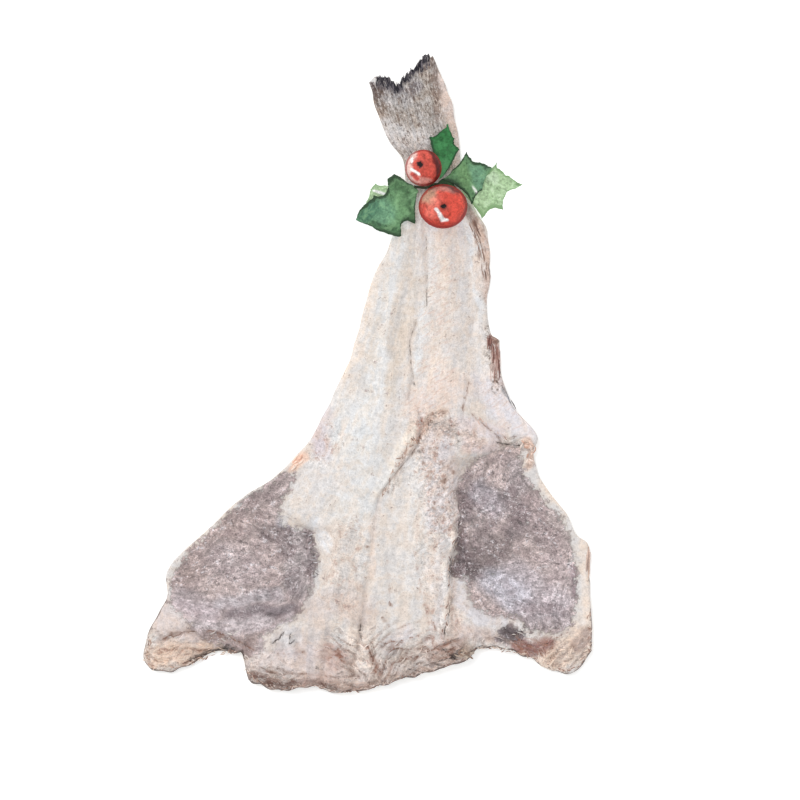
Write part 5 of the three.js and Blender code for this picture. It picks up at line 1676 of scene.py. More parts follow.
    def shreds(self, colour):
        """Crests and pits of the shredded parts: pits partly brown flesh, partly painted shade; crests
        painted highlights.
        """
        # Painted shade: brown darkening where the surface lies in a hollow.
        hollow_shade = (self.hollow + self.mottles.spread(0.4)).ramp(0.5, 1.0)
        colour = self.blend(hollow_shade * self.craggy_share.spread(0.2, 0.22), colour, (150, 118, 104))
        pit_brown_and_shade_tone = self.blend(self.reddish, (182, 160, 150), (178, 130, 110))
        # Pits along the fold valleys: partly brown flesh, partly painted shade.
        pit = (self.wave + self.noisy).ramp(0.5, 0.02)
        pit = pit * self.craggy_share * self.blotches.ramp(0.4, 0.58, 0.15, 0.95)
        colour = self.blend(pit, colour, pit_brown_and_shade_tone)
        for line, width, strength in ((self.lace, 0.034, 0.50), (self.net, 0.030, 0.25)):
            pit = line.ramp(width, 5.0 * width) * self.craggy_share
            colour = self.blend(pit * 0.55 * strength, colour, pit_brown_and_shade_tone)
            # Painted highlight along the crests.
            crest_highlight = line.ramp(width, 0.0) * self.craggy_share
            colour = self.blend(crest_highlight * strength, colour, (240, 231, 224))
        return colour

    def stains(self, colour):
        """Stain marks, painted shade and shadow in crevices and under edges, and the dark rim, partly
        painted shade.
        """
        stain = (self.brown_spot + self.noisy).ramp(0.6, 1.1)
        stain = stain * self.brown_spot.ramp(0.05, 0.25)
        stain_tone = self.blend(self.reddish, (142, 112, 98), (152, 92, 70))
        colour = self.blend(stain * 0.8, colour, stain_tone)
        smudge = (self.brown + self.noisy * 2.0).ramp(0.5, 1.2)
        smudge = smudge * self.brown.ramp(0.02, 0.3)
        colour = self.blend(smudge * 0.5, colour, stain_tone)
        # Dark specks, and painted shadow under edges.
        dark_speck_and_shadow = (self.dark_spot + self.noisy).ramp(0.66, 1.06)
        dark_speck_and_shadow = dark_speck_and_shadow * self.dark_spot.ramp(0.05, 0.25)
        colour = self.blend(dark_speck_and_shadow * 0.85, colour, (66, 56, 54))
        wobble = self.mottles.spread(4.5) + self.patches.spread(6.0) + self.grains.spread(2.0)
        # Brown lines are stain marks; dark lines are painted shade in crevices and painted shadow under
        # raised edges.
        for side, strength, tone in (
            (self.brown_side, self.brown, (132, 100, 86)),
            (self.dark_side, self.dark, (52, 44, 42)),
        ):
            off = self.maths("ABSOLUTE", side + wobble)
            line = off.ramp(1.15, 0.25)
            line = line * (strength + self.noisy * 1.5).ramp(0.5, 0.95)
            line = line * strength.ramp(0.3, 0.5)
            line = line * strength.ramp(0.6, 0.9, 0.45, 1.0)
            colour = self.blend(line * 0.9, colour, tone)
        # The dark rim round the head end: partly dark skin, partly painted shade under the rim.
        broken = self.noisy * 1.6 + self.blotches.spread(3.0)
        rim_skin_and_shade = (self.dark_rim + broken).ramp(0.45, 1.05) * self.dark_rim.ramp(0.05, 0.3)
        colour = self.blend(rim_skin_and_shade * 0.85, colour, (88, 70, 64))
        return colour

    def grain(self, colour):
        """Fine grain over everything, strongest on the membranes and the fin."""
        lively = self.on_membrane * 2.6 * self.salty + self.craggy_share.spread(0.9, 1.35)
        lively = lively + self.specked * 1.2 + self.worn * 0.9
        grain = self.grains.spread(0.66) + self.mottles.spread(0.62)
        grain = self.maths("MULTIPLY_ADD", grain, lively, 1.0)
        return self.brighten(colour, self.maths("MAXIMUM", grain, 0.25))

    def relief(self):
        """Fibres and pits everywhere, folds where the flesh is shredded, crinkled linings."""
        even = self.fine_fibres * 0.35 + self.mottles * 1.1 + self.grains * 0.7
        folds = (self.lace * -6.0 + self.net * -2.0) * self.craggy_share
        return even + folds + self.crinkles * 2.2 * self.on_membrane


def flesh_material():
    tree = FleshTree()
    flesh = tree.lines_and_flecks(tree.flesh())
    colour = tree.blend(tree.on_membrane, flesh, tree.lining())
    colour = tree.stains(tree.shreds(tree.fin(colour)))
    tree.colour(tree.grain(colour))
    tree.bump(tree.relief(), distance=0.0014, strength=0.8)
    tree.feed(tree.surface["Roughness"], tree.blotches.spread(0.25, 0.66))
    return tree.material


def skin_material():
    tree = Tree("cod_skin", Roughness=0.55, Specular_IOR_Level=0.35)
    patches = tree.cloud(tree.place((26.0, 18.0, 20.0)), 6.0, 0.65, 0.6)
    scales = tree.cells(tree.place((420.0, 260.0, 300.0)))
    speckle = tree.cloud(tree.place(240.0), 4.0, 0.7)
    colour = tree.blend(patches.ramp(0.35, 0.65), (126, 116, 96), (186, 176, 156))
    colour = tree.blend(speckle.ramp(0.52, 0.64) * 0.7, colour, (92, 82, 64))
    colour = tree.brighten(colour, scales.spread(0.3, 1.0))
    tree.colour(colour)
    tree.bump(scales + speckle, distance=0.0006, strength=0.6)
    return tree.material


# ---------------------------------------------------------------- holly pieces


def bed(x, y):
    """The low dome over the stalk on which the sprig lies."""
    spread_x, spread_y = SPRIG["spread"]
    away = np.hypot((x - SPRIG["x"]) / spread_x, (y - SPRIG["y"]) / spread_y)
    wave = np.sin(2.0 * x / LEAF_WAVE_LENGTH) * np.cos(y / LEAF_WAVE_LENGTH)
    dome = (SPRIG["top"] - SPRIG["foot"]) / (1.0 + away * away)
    return SPRIG["foot"] + dome + LEAF_WAVE_HEIGHT * wave


def margin(stem, spines, side, along):
    """A leaf's margin from stem to tip: bowed stretches between its spines."""
    points = [stem]
    per_arc = along // len(spines)
    from_x, from_y = stem
    for to_x, to_y, hollow in spines:
        for k in range(1, per_arc + 1):
            share = k / per_arc
            bow = 4.0 * hollow * share * (1.0 - share) * side
            x = mix(from_x, to_x, share) + bow * (to_y - from_y)
            y = mix(from_y, to_y, share) - bow * (to_x - from_x)
            points.append((x, y))
        from_x, from_y = to_x, to_y
    return np.array(points)


def ragged(points, seed):
    """A leaf's margin with small seeded rags that fade at its ends."""
    gone = np.concatenate(([0.0], np.cumsum(np.hypot(*np.diff(points, axis=0).T))))
    ahead = np.gradient(points, axis=0)
    ahead /= np.maximum(np.hypot(*ahead.T), TINY)[:, None]
    fade = smooth(0.0, MARGIN_FADE, gone) * smooth(0.0, MARGIN_FADE, gone[-1] - gone)
    off = np.zeros(len(points))
    for height, length, lane in MARGIN_RAGS:
        off = off + height * noise(gone / length, np.full(len(points), 0.5), lane + seed)
    return points + (fade * off)[:, None] * np.stack((-ahead[:, 1], ahead[:, 0]), axis=1)


def leaf_piece(name, colour):
    """A thin wavy leaf with a midrib, between its two ragged margins."""
    leaf = LEAVES[name]
    tip_x, tip_y, _ = leaf["above"][-1]
    spine_x, spine_y, _ = leaf["above"][0]
    stem_x, stem_y = leaf["stem"]
    turn = (tip_x - stem_x) * (spine_y - stem_y) - (tip_y - stem_y) * (spine_x - stem_x)
    side = math.copysign(1.0, turn)
    along, across = LEAF_CELLS
    above = ragged(margin(leaf["stem"], leaf["above"], side, along), 1)
    below = ragged(margin(leaf["stem"], leaf["below"], -side, along), 2)
    left, right = (above, below) if side > 0 else (below, above)
    share = np.arange(across + 1) / across
    x = mix(left[:, :1], right[:, :1], share)
    y = mix(left[:, 1:], right[:, 1:], share)
    u = np.repeat(np.arange(along + 1)[:, None] / along, across + 1, axis=1)
    v = np.repeat((2.0 * share - 1.0)[None, :], along + 1, axis=0)
    cupped = leaf["cup"] * np.sin(math.pi * u) * v * v
    curled = leaf["curl"] * smooth(CURL_FROM, 1.0, u)
    low = bed(x, y) + leaf["layer"] * LEAF_PITCH + cupped + curled
    swell = np.sin(math.pi * u) * (1.0 - v * v)
    midrib = MIDRIB_DEPTH * bell(v, MIDRIB_HALF) * np.clip(MIDRIB_FADE * swell, 0.0, 1.0)
    high = low + LEAF_THICKNESS - midrib
    rows, columns = x.shape
    upper = np.arange(rows * columns).reshape(rows, columns)
    lower = upper + rows * columns
    points = np.concatenate(
        (np.stack((x, y, high), -1).reshape(-1, 3), np.stack((x, y, low), -1).reshape(-1, 3))
    )
    rim_high, rim_low = rim_of(upper), rim_of(lower)
    wall = np.stack((rim_high, np.roll(rim_high, -1), np.roll(rim_low, -1), rim_low), -1)
    faces = [*quads_of(upper)[:, ::-1], *quads_of(lower), *wall]
    made = mesh_object(name + "_dressed", points + PLACE, faces)
    mesh = made.data
    px, py = points[:, 0], points[:, 1]
    set_uv(mesh, "blade", np.tile(u.ravel(), 2), np.tile(v.ravel(), 2))
    tint = paint(even_colour(colour, len(px)), LEAF_TINTS[name], px, py)
    set_colours(mesh, "leaf_tint", np.column_stack((tint, np.ones(len(px)))))
    weld(made, LEAF_WELD)
    return made


def weld(piece, distance):
    """Merges corners that coincide, as at a leaf's stem and tip, and turns faces outwards."""
    shape = bmesh.new()
    shape.from_mesh(piece.data)
    bmesh.ops.remove_doubles(shape, verts=shape.verts, dist=distance)
    bmesh.ops.dissolve_degenerate(shape, edges=shape.edges, dist=distance)
    bmesh.ops.recalc_face_normals(shape, faces=shape.faces)
    shape.to_mesh(piece.data)
    shape.free()
    piece.data.shade_smooth()


def leaf_material(name, edge_colour, light_colour):
    """Uneven washes of green with a darker, broken outline."""
    tree = Tree(name, Roughness=0.55, Specular_IOR_Level=0.3)
    tint, _ = tree.attribute("leaf_tint")
    _, v, _ = tree.parts(tree.uv("blade"))
    v = tree.maths("ABSOLUTE", v)
    washes = tree.cloud(tree.place(75.0), 5.0, 0.65, 1.0)
    blots = tree.cloud(tree.place(260.0), 4.0, 0.7, 0.6)
    grains = tree.cloud(tree.place(480.0), 3.0, 0.75)
    value = washes.spread(1.5, 0.92) + blots.spread(1.5)
    colour = tree.brighten(tint, value + grains.spread(1.3))
    light = (washes + blots.spread(0.4)).ramp(0.5, 0.66)
    colour = tree.blend(light * 0.45, colour, light_colour)
    rim = v + washes.spread(0.7) + blots.spread(0.4)
    rim = rim.ramp(0.77, 0.9)
    colour = tree.blend(rim * 0.9, colour, edge_colour)
    tree.colour(colour)
    tree.bump(washes + blots * 0.4, distance=0.0006, strength=0.5)
    return tree.material


def berry_piece(name, colour):
    """A round berry with a dimple at its pole."""
    berry = BERRIES[name]
    rings, sides = BERRY_GRID
    rx, ry, rz = berry["radii"]
    lean_x, lean_y = berry["dimple"][0] / rx, berry["dimple"][1] / ry
    pole = Vector((lean_x, lean_y, math.sqrt(1.0 - lean_x**2 - lean_y**2)))
    turn = Vector((0.0, 0.0, 1.0)).rotation_difference(pole).to_matrix()
    share = np.arange(1, rings) / rings
    angles = math.pi * share**BERRY_CROWD
    angle = np.concatenate(([0.0], np.repeat(angles, sides), [math.pi]))
    around = np.concatenate(([0.0], np.tile(np.arange(sides) * 2.0 * math.pi / sides, rings - 1), [0.0]))
    dent = 1.0 - DIMPLE_DEPTH * bell(angle, DIMPLE_ANGLE)
    unit = np.stack((np.sin(angle) * np.cos(around), np.sin(angle) * np.sin(around), np.cos(angle)), -1)
    unit = (unit * dent[:, None]) @ np.array(turn).T
    x = berry["x"] + rx * unit[:, 0]
    y = berry["y"] + ry * unit[:, 1]
    z = berry["foot"] + rz * (1.0 + unit[:, 2])
    points = np.stack((x, y, z), -1)
    faces = []
    last = len(points) - 1
    for k in range(sides):
        following = (k + 1) % sides
        faces.append((0, 1 + k, 1 + following))
        for ring in range(rings - 2):
            here = 1 + ring * sides
            below = here + sides
            faces.append((here + k, below + k, below + following, here + following))
        bottom = 1 + (rings - 2) * sides
        faces.append((last, bottom + following, bottom + k))
    made = mesh_object(name + "_dressed", points + PLACE, faces)
    tint = paint(even_colour(colour, len(x)), BERRY_TINTS[name], x, y)
    dimple_x = berry["x"] + berry["dimple"][0]
    dimple_y = berry["y"] + berry["dimple"][1]
    away = np.hypot(x - dimple_x, y - dimple_y)
    dimple = np.clip(1.0 - away / DIMPLE_REACH, 0.0, 1.0) * (unit[:, 2] > 0.0)
    set_colours(made.data, "berry_tint", np.column_stack((tint, dimple)))
    # How far the surface turns away from above, for painted shade towards the berry's sides.
    outline = smooth(*BERRY_SIDE_SHADE, unit[:, 2])
    set_colours(made.data, "berry_rim", np.column_stack((outline,) * 4))
    return made


def berry_material():
    tree = Tree("holly_berry", Roughness=0.50, Specular_IOR_Level=0.22)
    tint, (_, _, _, dimple) = tree.attribute("berry_tint")
    _, (outline, _, _, _) = tree.attribute("berry_rim")
    washes = tree.cloud(tree.place(95.0), 5.0, 0.65, 1.0)
    blots = tree.cloud(tree.place(330.0), 4.0, 0.7, 0.5)
    colour = tree.brighten(tint, washes.spread(1.3, 0.86) + blots.spread(1.8))
    uneven = washes.spread(1.0) + blots.spread(0.9)
    # Painted shade round the dimple.
    dimple_shade = (dimple + uneven).ramp(0.3, 0.75)
    colour = tree.blend(dimple_shade * 0.75, colour, (132, 44, 38))
    pit = (dimple + uneven * 1.0).ramp(0.5, 0.7)
    colour = tree.blend(pit, colour, (36, 28, 28))
    # Painted shade: dark red towards the berry's sides, where the surface turns away from above.
    rim = (outline + uneven * 1.8).ramp(0.12, 0.4)
    rim = rim * outline.ramp(0.02, 0.16)
    colour = tree.blend(rim * 0.8, colour, (140, 24, 20))
    tree.colour(colour)
    tree.bump(washes + blots * 0.4, distance=0.0004, strength=0.5)
    return tree.material


def twig_piece():
    """A round, uneven twig that follows the sprig's bed."""
    path = np.array(TWIG_PATH)
    knots = np.linspace(0.0, 1.0, len(path))
    t = np.linspace(0.0, 1.0, TWIG_STEPS + 1)
    x = Curve(list(zip(knots, path[:, 0])))(t)
    y = Curve(list(zip(knots, path[:, 1])))(t)
    z = bed(x, y) + TWIG_LAYER * LEAF_PITCH + TWIG_RADIUS
    centre = np.stack((x, y, z), -1)
    ahead = np.gradient(centre, axis=0)
    ahead /= np.linalg.norm(ahead, axis=1)[:, None]
    beside = np.stack((ahead[:, 1], -ahead[:, 0], np.zeros(len(t))), -1)
    beside /= np.linalg.norm(beside, axis=1)[:, None]
    above = np.cross(beside, ahead)
    turns = np.arange(TWIG_SIDES) * 2.0 * math.pi / TWIG_SIDES
    girth = TWIG_RADIUS * (0.9 + 0.1 * noise(t * TWIG_KNOTS, np.zeros(len(t)), TWIG_SEED))
    points = (
        centre[:, None, :]
        + (girth[:, None] * np.cos(turns))[:, :, None] * beside[:, None, :]
        + (girth[:, None] * np.sin(turns))[:, :, None] * above[:, None, :]
    ).reshape(-1, 3)
    index = np.arange(len(points)).reshape(len(t), TWIG_SIDES)
    closed = np.concatenate((index, index[:, :1]), axis=1)
    faces = [tuple(quad) for quad in quads_of(closed)]
    faces.append(tuple(index[0]))
    faces.append(tuple(index[-1][::-1]))
    made = mesh_object("twig_dressed", points + PLACE, faces)
    weld(made, TWIG_WELD)
    return made


def twig_material():
    tree = Tree("holly_twig", Roughness=0.7, Specular_IOR_Level=0.3)
    bark = tree.cloud(tree.place(420.0), 5.0, 0.7)
    tree.colour(tree.blend(bark.ramp(0.35, 0.65), (30, 44, 30), (62, 70, 48)))
    tree.bump(bark, distance=0.0004, strength=0.7)
    return tree.material


# ---------------------------------------------------------------- salt


def geometry_tree(name, numbers):
    """A geometry nodes tree with named number inputs, and what its input node gives."""
    tree = bpy.data.node_groups.new(name, "GeometryNodeTree")
    face = tree.interface
    face.new_socket("Geometry", in_out="INPUT", socket_type="NodeSocketGeometry")
    for label, kind in numbers.items():
        face.new_socket(label, in_out="INPUT", socket_type="NodeSocket" + kind)
    face.new_socket("Geometry", in_out="OUTPUT", socket_type="NodeSocketGeometry")
    return tree, tree.nodes.new("NodeGroupInput").outputs


def grow(tree, kind, output, inputs, **settings):
    """Adds a node, fills its inputs with values or other nodes' outputs, and gives one output."""
    made = tree.nodes.new(kind)
    for name, value in settings.items():
        setattr(made, name, value)
    for name, value in inputs.items():
        if isinstance(value, bpy.types.NodeSocket):
            tree.links.new(value, made.inputs[name])
        else:
            made.inputs[name].default_value = value
    return made.outputs[output]


def ended(tree, geometry, material):
    """The tree, with the geometry made real, coated and given out."""
    real = grow(tree, "GeometryNodeRealizeInstances", "Geometry", {"Geometry": geometry})
    coat = grow(tree, "GeometryNodeSetMaterial", "Geometry", {"Geometry": real, "Material": material})
    tree.links.new(coat, tree.nodes.new("NodeGroupOutput").inputs["Geometry"])
    return tree


def salt_tree(material):
    """Geometry nodes that strew small crystals over a surface by its stored salt share."""
    tree, given = geometry_tree("salt_grains", {
        "Grains per square metre": "Float", "Smallest grain": "Float", "Largest grain": "Float",
        "Seed": "Int",
    })
    share = grow(tree, "GeometryNodeInputNamedAttribute", "Attribute", {"Name": "salt_share"})
    density = grow(tree, "ShaderNodeMath", 0, {0: given["Grains per square metre"], 1: share},
                   operation="MULTIPLY")
    points = grow(tree, "GeometryNodeDistributePointsOnFaces", "Points",
                  {"Mesh": given["Geometry"], "Density": density, "Seed": given["Seed"]})
    grain = grow(tree, "GeometryNodeMeshCube", "Mesh", {"Size": GRAIN_SHAPE})
    size = grow(tree, "FunctionNodeRandomValue", 1,
                {2: given["Smallest grain"], 3: given["Largest grain"]}, data_type="FLOAT")
    turn = grow(tree, "FunctionNodeRandomValue", "Value", {"Max": GRAIN_TURN},
                data_type="FLOAT_VECTOR")
    put = grow(tree, "GeometryNodeInstanceOnPoints", "Instances",
               {"Points": points, "Instance": grain, "Rotation": turn, "Scale": size})
    return ended(tree, put, material)


def salt_material():
    tree = Tree("salt_grains", Roughness=0.4, Specular_IOR_Level=0.5)
    cloudy = tree.cloud(tree.place(400.0), 2.0, 0.5)
    tree.colour(tree.blend(cloudy.ramp(0.3, 0.7), (206, 198, 198), (238, 234, 232)))
    return tree.material


def salted_surface(fish):
    """A copy of the fish with its salt share stored on it, which is nothing off the flesh face."""
    mesh = fish.data.copy()
    shape = np.empty(len(mesh.vertices) * 4, np.float32)
    mesh.color_attributes["shape"].data.foreach_get("color", shape)
    share = shape.reshape(-1, 4)[:, 2]
    rows = len(FINE_NET["rims"]) * 2 + FINE_NET["rows"] + 1
    columns = len(FINE_NET["rims"]) * 2 + sum(FINE_NET["bands"]) + 3
    share[rows * columns:] = 0.0
    layer = mesh.attributes.new("salt_share", "FLOAT", "POINT")
    layer.data.foreach_set("value", share)
    made = bpy.data.objects.new("salted_surface", mesh)
    bpy.context.scene.collection.objects.link(made)
    return made


def grown(source, tree, values, name):
    """The plain mesh that a geometry nodes tree makes of an object's mesh."""
    holder = bpy.data.objects.new(name + "_source", source.data.copy())
    bpy.context.scene.collection.objects.link(holder)
    modifier = holder.modifiers.new(name, "NODES")
    modifier.node_group = tree
    for item in tree.interface.items_tree:
        if item.in_out == "INPUT" and item.name in values:
            modifier[item.identifier] = values[item.name]
    graph = bpy.context.evaluated_depsgraph_get()
    mesh = bpy.data.meshes.new_from_object(holder.evaluated_get(graph))
    mesh.name = name
    made = bpy.data.objects.new(name, mesh)
    bpy.context.scene.collection.objects.link(made)
    bpy.data.objects.remove(holder)
    return made


# ---------------------------------------------------------------- loose fibres


def fibre_set(x, y, angle, length, girth, colour, chance):
    """Bent, tapered fibres that lie on the fish: corner points, girths and colours."""
    step = np.linspace(-1.0, 1.0, FIBRE_STEPS)
    bend = FIBRE_BEND * chance.uniform(-1.0, 1.0, len(x)) * np.minimum(length, BENT_LENGTH)
    along = length[:, None] / 2.0 * step
    beside = bend[:, None] * (1.0 - step**2)
    turn_x, turn_y = np.cos(angle)[:, None], np.sin(angle)[:, None]
    px = x[:, None] + turn_x * along - turn_y * beside
    py = y[:, None] + turn_y * along + turn_x * beside
    top, _ = faces_at(px.ravel(), py.ravel(), fine=True)
    girths = girth[:, None] * (1.0 - FIBRE_TAPER * step**2)
    pz = top.reshape(px.shape) + FIBRE_PROUD * girths - FIBRE_SUNK * girth[:, None] * step**4
    return np.stack((px, py, pz), -1), girths, np.repeat(colour[:, None, :], FIBRE_STEPS, axis=1)


def fringe_fibres(fringe, chance):
    """Fibres strewn beside a line, as its row of the table says."""
    line, count, lengths, girths, lean, scatter, shift, colours = fringe
    line = MM * np.array(line)
    legs = np.diff(line, axis=0)
    reach = np.hypot(*legs.T)
    at = chance.uniform(0.0, reach.sum(), count)
    ends = np.cumsum(reach)
    leg = np.searchsorted(ends, at)
    share = (at - (ends - reach)[leg]) / reach[leg]
    ahead = legs[leg] / reach[leg][:, None]
    aside = MM * chance.uniform(*shift, count)
    x = line[leg, 0] + share * legs[leg, 0] - aside * ahead[:, 1]
    y = line[leg, 1] + share * legs[leg, 1] + aside * ahead[:, 0]
    turn = lean * chance.choice((-1.0, 1.0), count) + chance.normal(0.0, scatter / 2.0, count)
    angle = np.arctan2(ahead[:, 1], ahead[:, 0]) + np.radians(turn)
    shades = linear(np.array(colours)[chance.integers(len(colours), size=count)])
    shades = shades * chance.uniform(*FRINGE_SHADES, count)[:, None]
    lengths = MM * chance.uniform(*lengths, count)
    return fibre_set(x, y, angle, lengths, MM * chance.uniform(*girths, count), shades, chance)


def shred_fibres(tint, chance):
    """Shreds strewn over the head end and lobes, lying along the guide lines."""
    low_x, high_x, low_y, high_y = SHRED_AREA
    x = chance.uniform(low_x, high_x, SHRED_COUNT)
    y = chance.uniform(low_y, high_y, SHRED_COUNT)
    kept = craggy(x, y, loin_share(x, y)) > chance.uniform(*SHRED_ODDS, SHRED_COUNT)
    kept = kept & (inset(x, y) > SHRED_INSET)
    x, y = x[kept], y[kept]
    slope_x = guide_distance(x + GUIDE_STEP, y) - guide_distance(x - GUIDE_STEP, y)
    slope_y = guide_distance(x, y + GUIDE_STEP) - guide_distance(x, y - GUIDE_STEP)
    angle = np.arctan2(slope_x, -slope_y) + chance.normal(0.0, SHRED_SPREAD, len(x))
    shades = paint(even_colour(tint, len(x)), FLESH_TINTS, x, y)
    shades = shades * chance.uniform(*SHRED_SHADES, len(x))[:, None]
    lengths = chance.uniform(*SHRED_LENGTHS, len(x))
    return fibre_set(x, y, angle, lengths, chance.uniform(*SHRED_GIRTHS, len(x)), shades, chance)


def ray_tip_fibres(chance):
    """Dark frayed tips that end past the hind edge of the tail fin."""
    count = RAY_TIPS["count"]
    x = chance.uniform(RAY_TIPS["from"], RAY_TIPS["to"], count)
    lengths = chance.uniform(*RAY_TIPS["lengths"], count)
    past = chance.uniform(*RAY_TIPS["past"], count)
    y = tail_edge(x) + past - lengths / 2.0
    lean = mix(*RAY_TIPS["leans"], x / TAIL_WIDTH) + chance.normal(0.0, RAY_TIPS["scatter"], count)
    colours = RAY_TIPS["colours"]
    shades = linear(np.array(colours)[chance.integers(len(colours), size=count)])
    girths = chance.uniform(*RAY_TIPS["girths"], count)
    return fibre_set(x, y, np.radians(lean), lengths, girths, shades, chance)


def fibre_lines(name, sets):
    """The fibres as plain edges, with girth and colour stored on them."""
    points = np.concatenate([part[0] for part in sets])
    girths = np.concatenate([part[1] for part in sets])
    colours = np.concatenate([part[2] for part in sets])
    index = np.arange(points.shape[0] * FIBRE_STEPS).reshape(-1, FIBRE_STEPS)
    edges = np.stack((index[:, :-1], index[:, 1:]), -1).reshape(-1, 2)
    mesh = bpy.data.meshes.new(name + "_lines")
    corners = (points.reshape(-1, 3) + PLACE).tolist()
    mesh.from_pydata(corners, edges.tolist(), [])
    layer = mesh.attributes.new("girth", "FLOAT", "POINT")
    layer.data.foreach_set("value", girths.ravel().astype(np.float32))
    flat = colours.reshape(-1, 3)
    set_colours(mesh, "fibre_tint", np.column_stack((flat, np.ones(len(flat)))))
    made = bpy.data.objects.new(name + "_lines", mesh)
    bpy.context.scene.collection.objects.link(made)
    return made


def fibre_tree(material):
    """Geometry nodes that give every edge chain a round section of its stored girth."""
    tree, given = geometry_tree("fibres", {"Sides": "Int", "Thickness": "Float"})
    lines = grow(tree, "GeometryNodeMeshToCurve", "Curve", {"Mesh": given["Geometry"]})
    ring = grow(tree, "GeometryNodeCurvePrimitiveCircle", "Curve",
                {"Resolution": given["Sides"], "Radius": given["Thickness"]})
    girth = grow(tree, "GeometryNodeInputNamedAttribute", "Attribute", {"Name": "girth"})
    skin = grow(tree, "GeometryNodeCurveToMesh", "Mesh",
                {"Curve": lines, "Profile Curve": ring, "Scale": girth, "Fill Caps": True})
    soft = grow(tree, "GeometryNodeSetShadeSmooth", "Geometry", {"Geometry": skin})
    return ended(tree, soft, material)


def fibre_material():
    tree = Tree("loose_fibres", Roughness=0.7, Specular_IOR_Level=0.2)
    tint, _ = tree.attribute("fibre_tint")
    grains = tree.cloud(tree.place(640.0), 2.0, 0.75)
    mottles = tree.cloud(tree.place(230.0), 4.0, 0.65)
    grain = grains.spread(1.0, 1.0) + mottles.spread(0.6)
    tree.colour(tree.brighten(tint, grain))
    tree.bump(grains, distance=0.0004, strength=0.6)
    return tree.material


# ---------------------------------------------------------------- properties


def colour_property(name, description, default):
    return FloatVectorProperty(
        name=name, description=description, default=default,
        subtype="COLOR_GAMMA", size=3, min=0.0, max=1.0,
    )


class CodFishSettings(bpy.types.PropertyGroup):
    flesh: colour_property("Flesh", "General colour of the dried flesh", (0.890, 0.862, 0.839))


class CodSaltSettings(bpy.types.PropertyGroup):
    density: FloatProperty(
        name="Grains per square metre", description="Salt crystals where salt is thickest",
        default=60000.0, min=0.0,
    )
    smallest: FloatProperty(
        name="Smallest grain", description="Size of the smallest crystals",
        default=0.0003, min=0.0001, unit="LENGTH",
    )
    largest: FloatProperty(
        name="Largest grain", description="Size of the largest crystals",
        default=0.0008, min=0.0001, unit="LENGTH",
    )
    seed: IntProperty(name="Seed", description="Another strewing of the crystals", default=7)


class CodFibreSettings(bpy.types.PropertyGroup):
    thickness: FloatProperty(
        name="Thickness", description="Factor on the thickness of the loose fibres",
        default=1.0, min=0.1,
    )
    sides: IntProperty(name="Sides", description="Corners of a fibre's section", default=5, min=3)
    seed: IntProperty(name="Seed", description="Another strewing of the fibres", default=SHRED_SEED)


class CodSprigSettings(bpy.types.PropertyGroup):
    green: colour_property(
        "Green leaf", "Colour of the two leaves beside the berries", (0.38, 0.55, 0.38)
    )
    deep_green: colour_property(
        "Deep green leaf", "Colour of the leaf that points to the tail", (0.20, 0.475, 0.26)
    )
    pale_green: colour_property("Pale leaf", "Colour of the two pale leaves", (0.68, 0.80, 0.62))
    dark_green: colour_property(
        "Dark leaf", "Colour of the small leaf under the berries", (0.16, 0.29, 0.165)
    )
    berry: colour_property("Berry", "Colour of the berries", (0.825, 0.335, 0.28))


class CodStageSettings(bpy.types.PropertyGroup):
    sun: FloatProperty(
        name="Sun", description="Strength of the soft light from the upper left",
        default=1.20, min=0.0,
    )
    glow: FloatProperty(
        name="Table glow", description="Light that the white table gives from below",
        default=0.30, min=0.0,
    )
    sky: FloatProperty(
        name="Sky", description="Strength of the even light from all round",
        default=0.80, min=0.0,
    )


# ---------------------------------------------------------------- operators


class COD_OT_fish(bpy.types.Operator):
    """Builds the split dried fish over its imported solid"""

    bl_idname = "cod.fish"
    bl_label = "Fish"

    def execute(self, context):
        piece = cod_mesh(context.scene.cod_fish)
        piece.data.materials.append(flesh_material())
        piece.data.materials.append(skin_material())
        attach(piece, "root")
        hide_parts("cod")
        return {"FINISHED"}


class COD_OT_fibres(bpy.types.Operator):
    """Lays loose fibres along the fin's edge, the cuts and the shredded head end"""

    bl_idname = "cod.fibres"
    bl_label = "Loose fibres"

    def execute(self, context):
        settings = context.scene.cod_fibres
        chance = np.random.default_rng(settings.seed)
        tint = srgb(context.scene.cod_fish.flesh)
        shreds = [fringe_fibres(fringe, chance) for fringe in FRINGES]
        shreds.append(shred_fibres(tint, chance))
        material = fibre_material()
        tree = fibre_tree(material)
        values = {"Sides": settings.sides, "Thickness": settings.thickness}
        for name, sets in (("flesh_shreds", shreds), ("fin_ray_tips", [ray_tip_fibres(chance)])):
            lines = fibre_lines(name, sets)
            piece = grown(lines, tree, values, name)
            bpy.data.objects.remove(lines)
            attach(piece, "root")
        return {"FINISHED"}


class COD_OT_salt(bpy.types.Operator):
    """Strews salt crystals over the flesh and the belly membranes"""

    bl_idname = "cod.salt"
    bl_label = "Salt"

    def execute(self, context):
        settings = context.scene.cod_salt
        fish = bpy.data.objects["salted_cod"]
        values = {
            "Grains per square metre": settings.density,
            "Smallest grain": settings.smallest,
            "Largest grain": settings.largest,
            "Seed": settings.seed,
        }
        source = salted_surface(fish)
        piece = grown(source, salt_tree(salt_material()), values, "salt_crystals")
        bpy.data.objects.remove(source)
        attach(piece, "root")
        return {"FINISHED"}


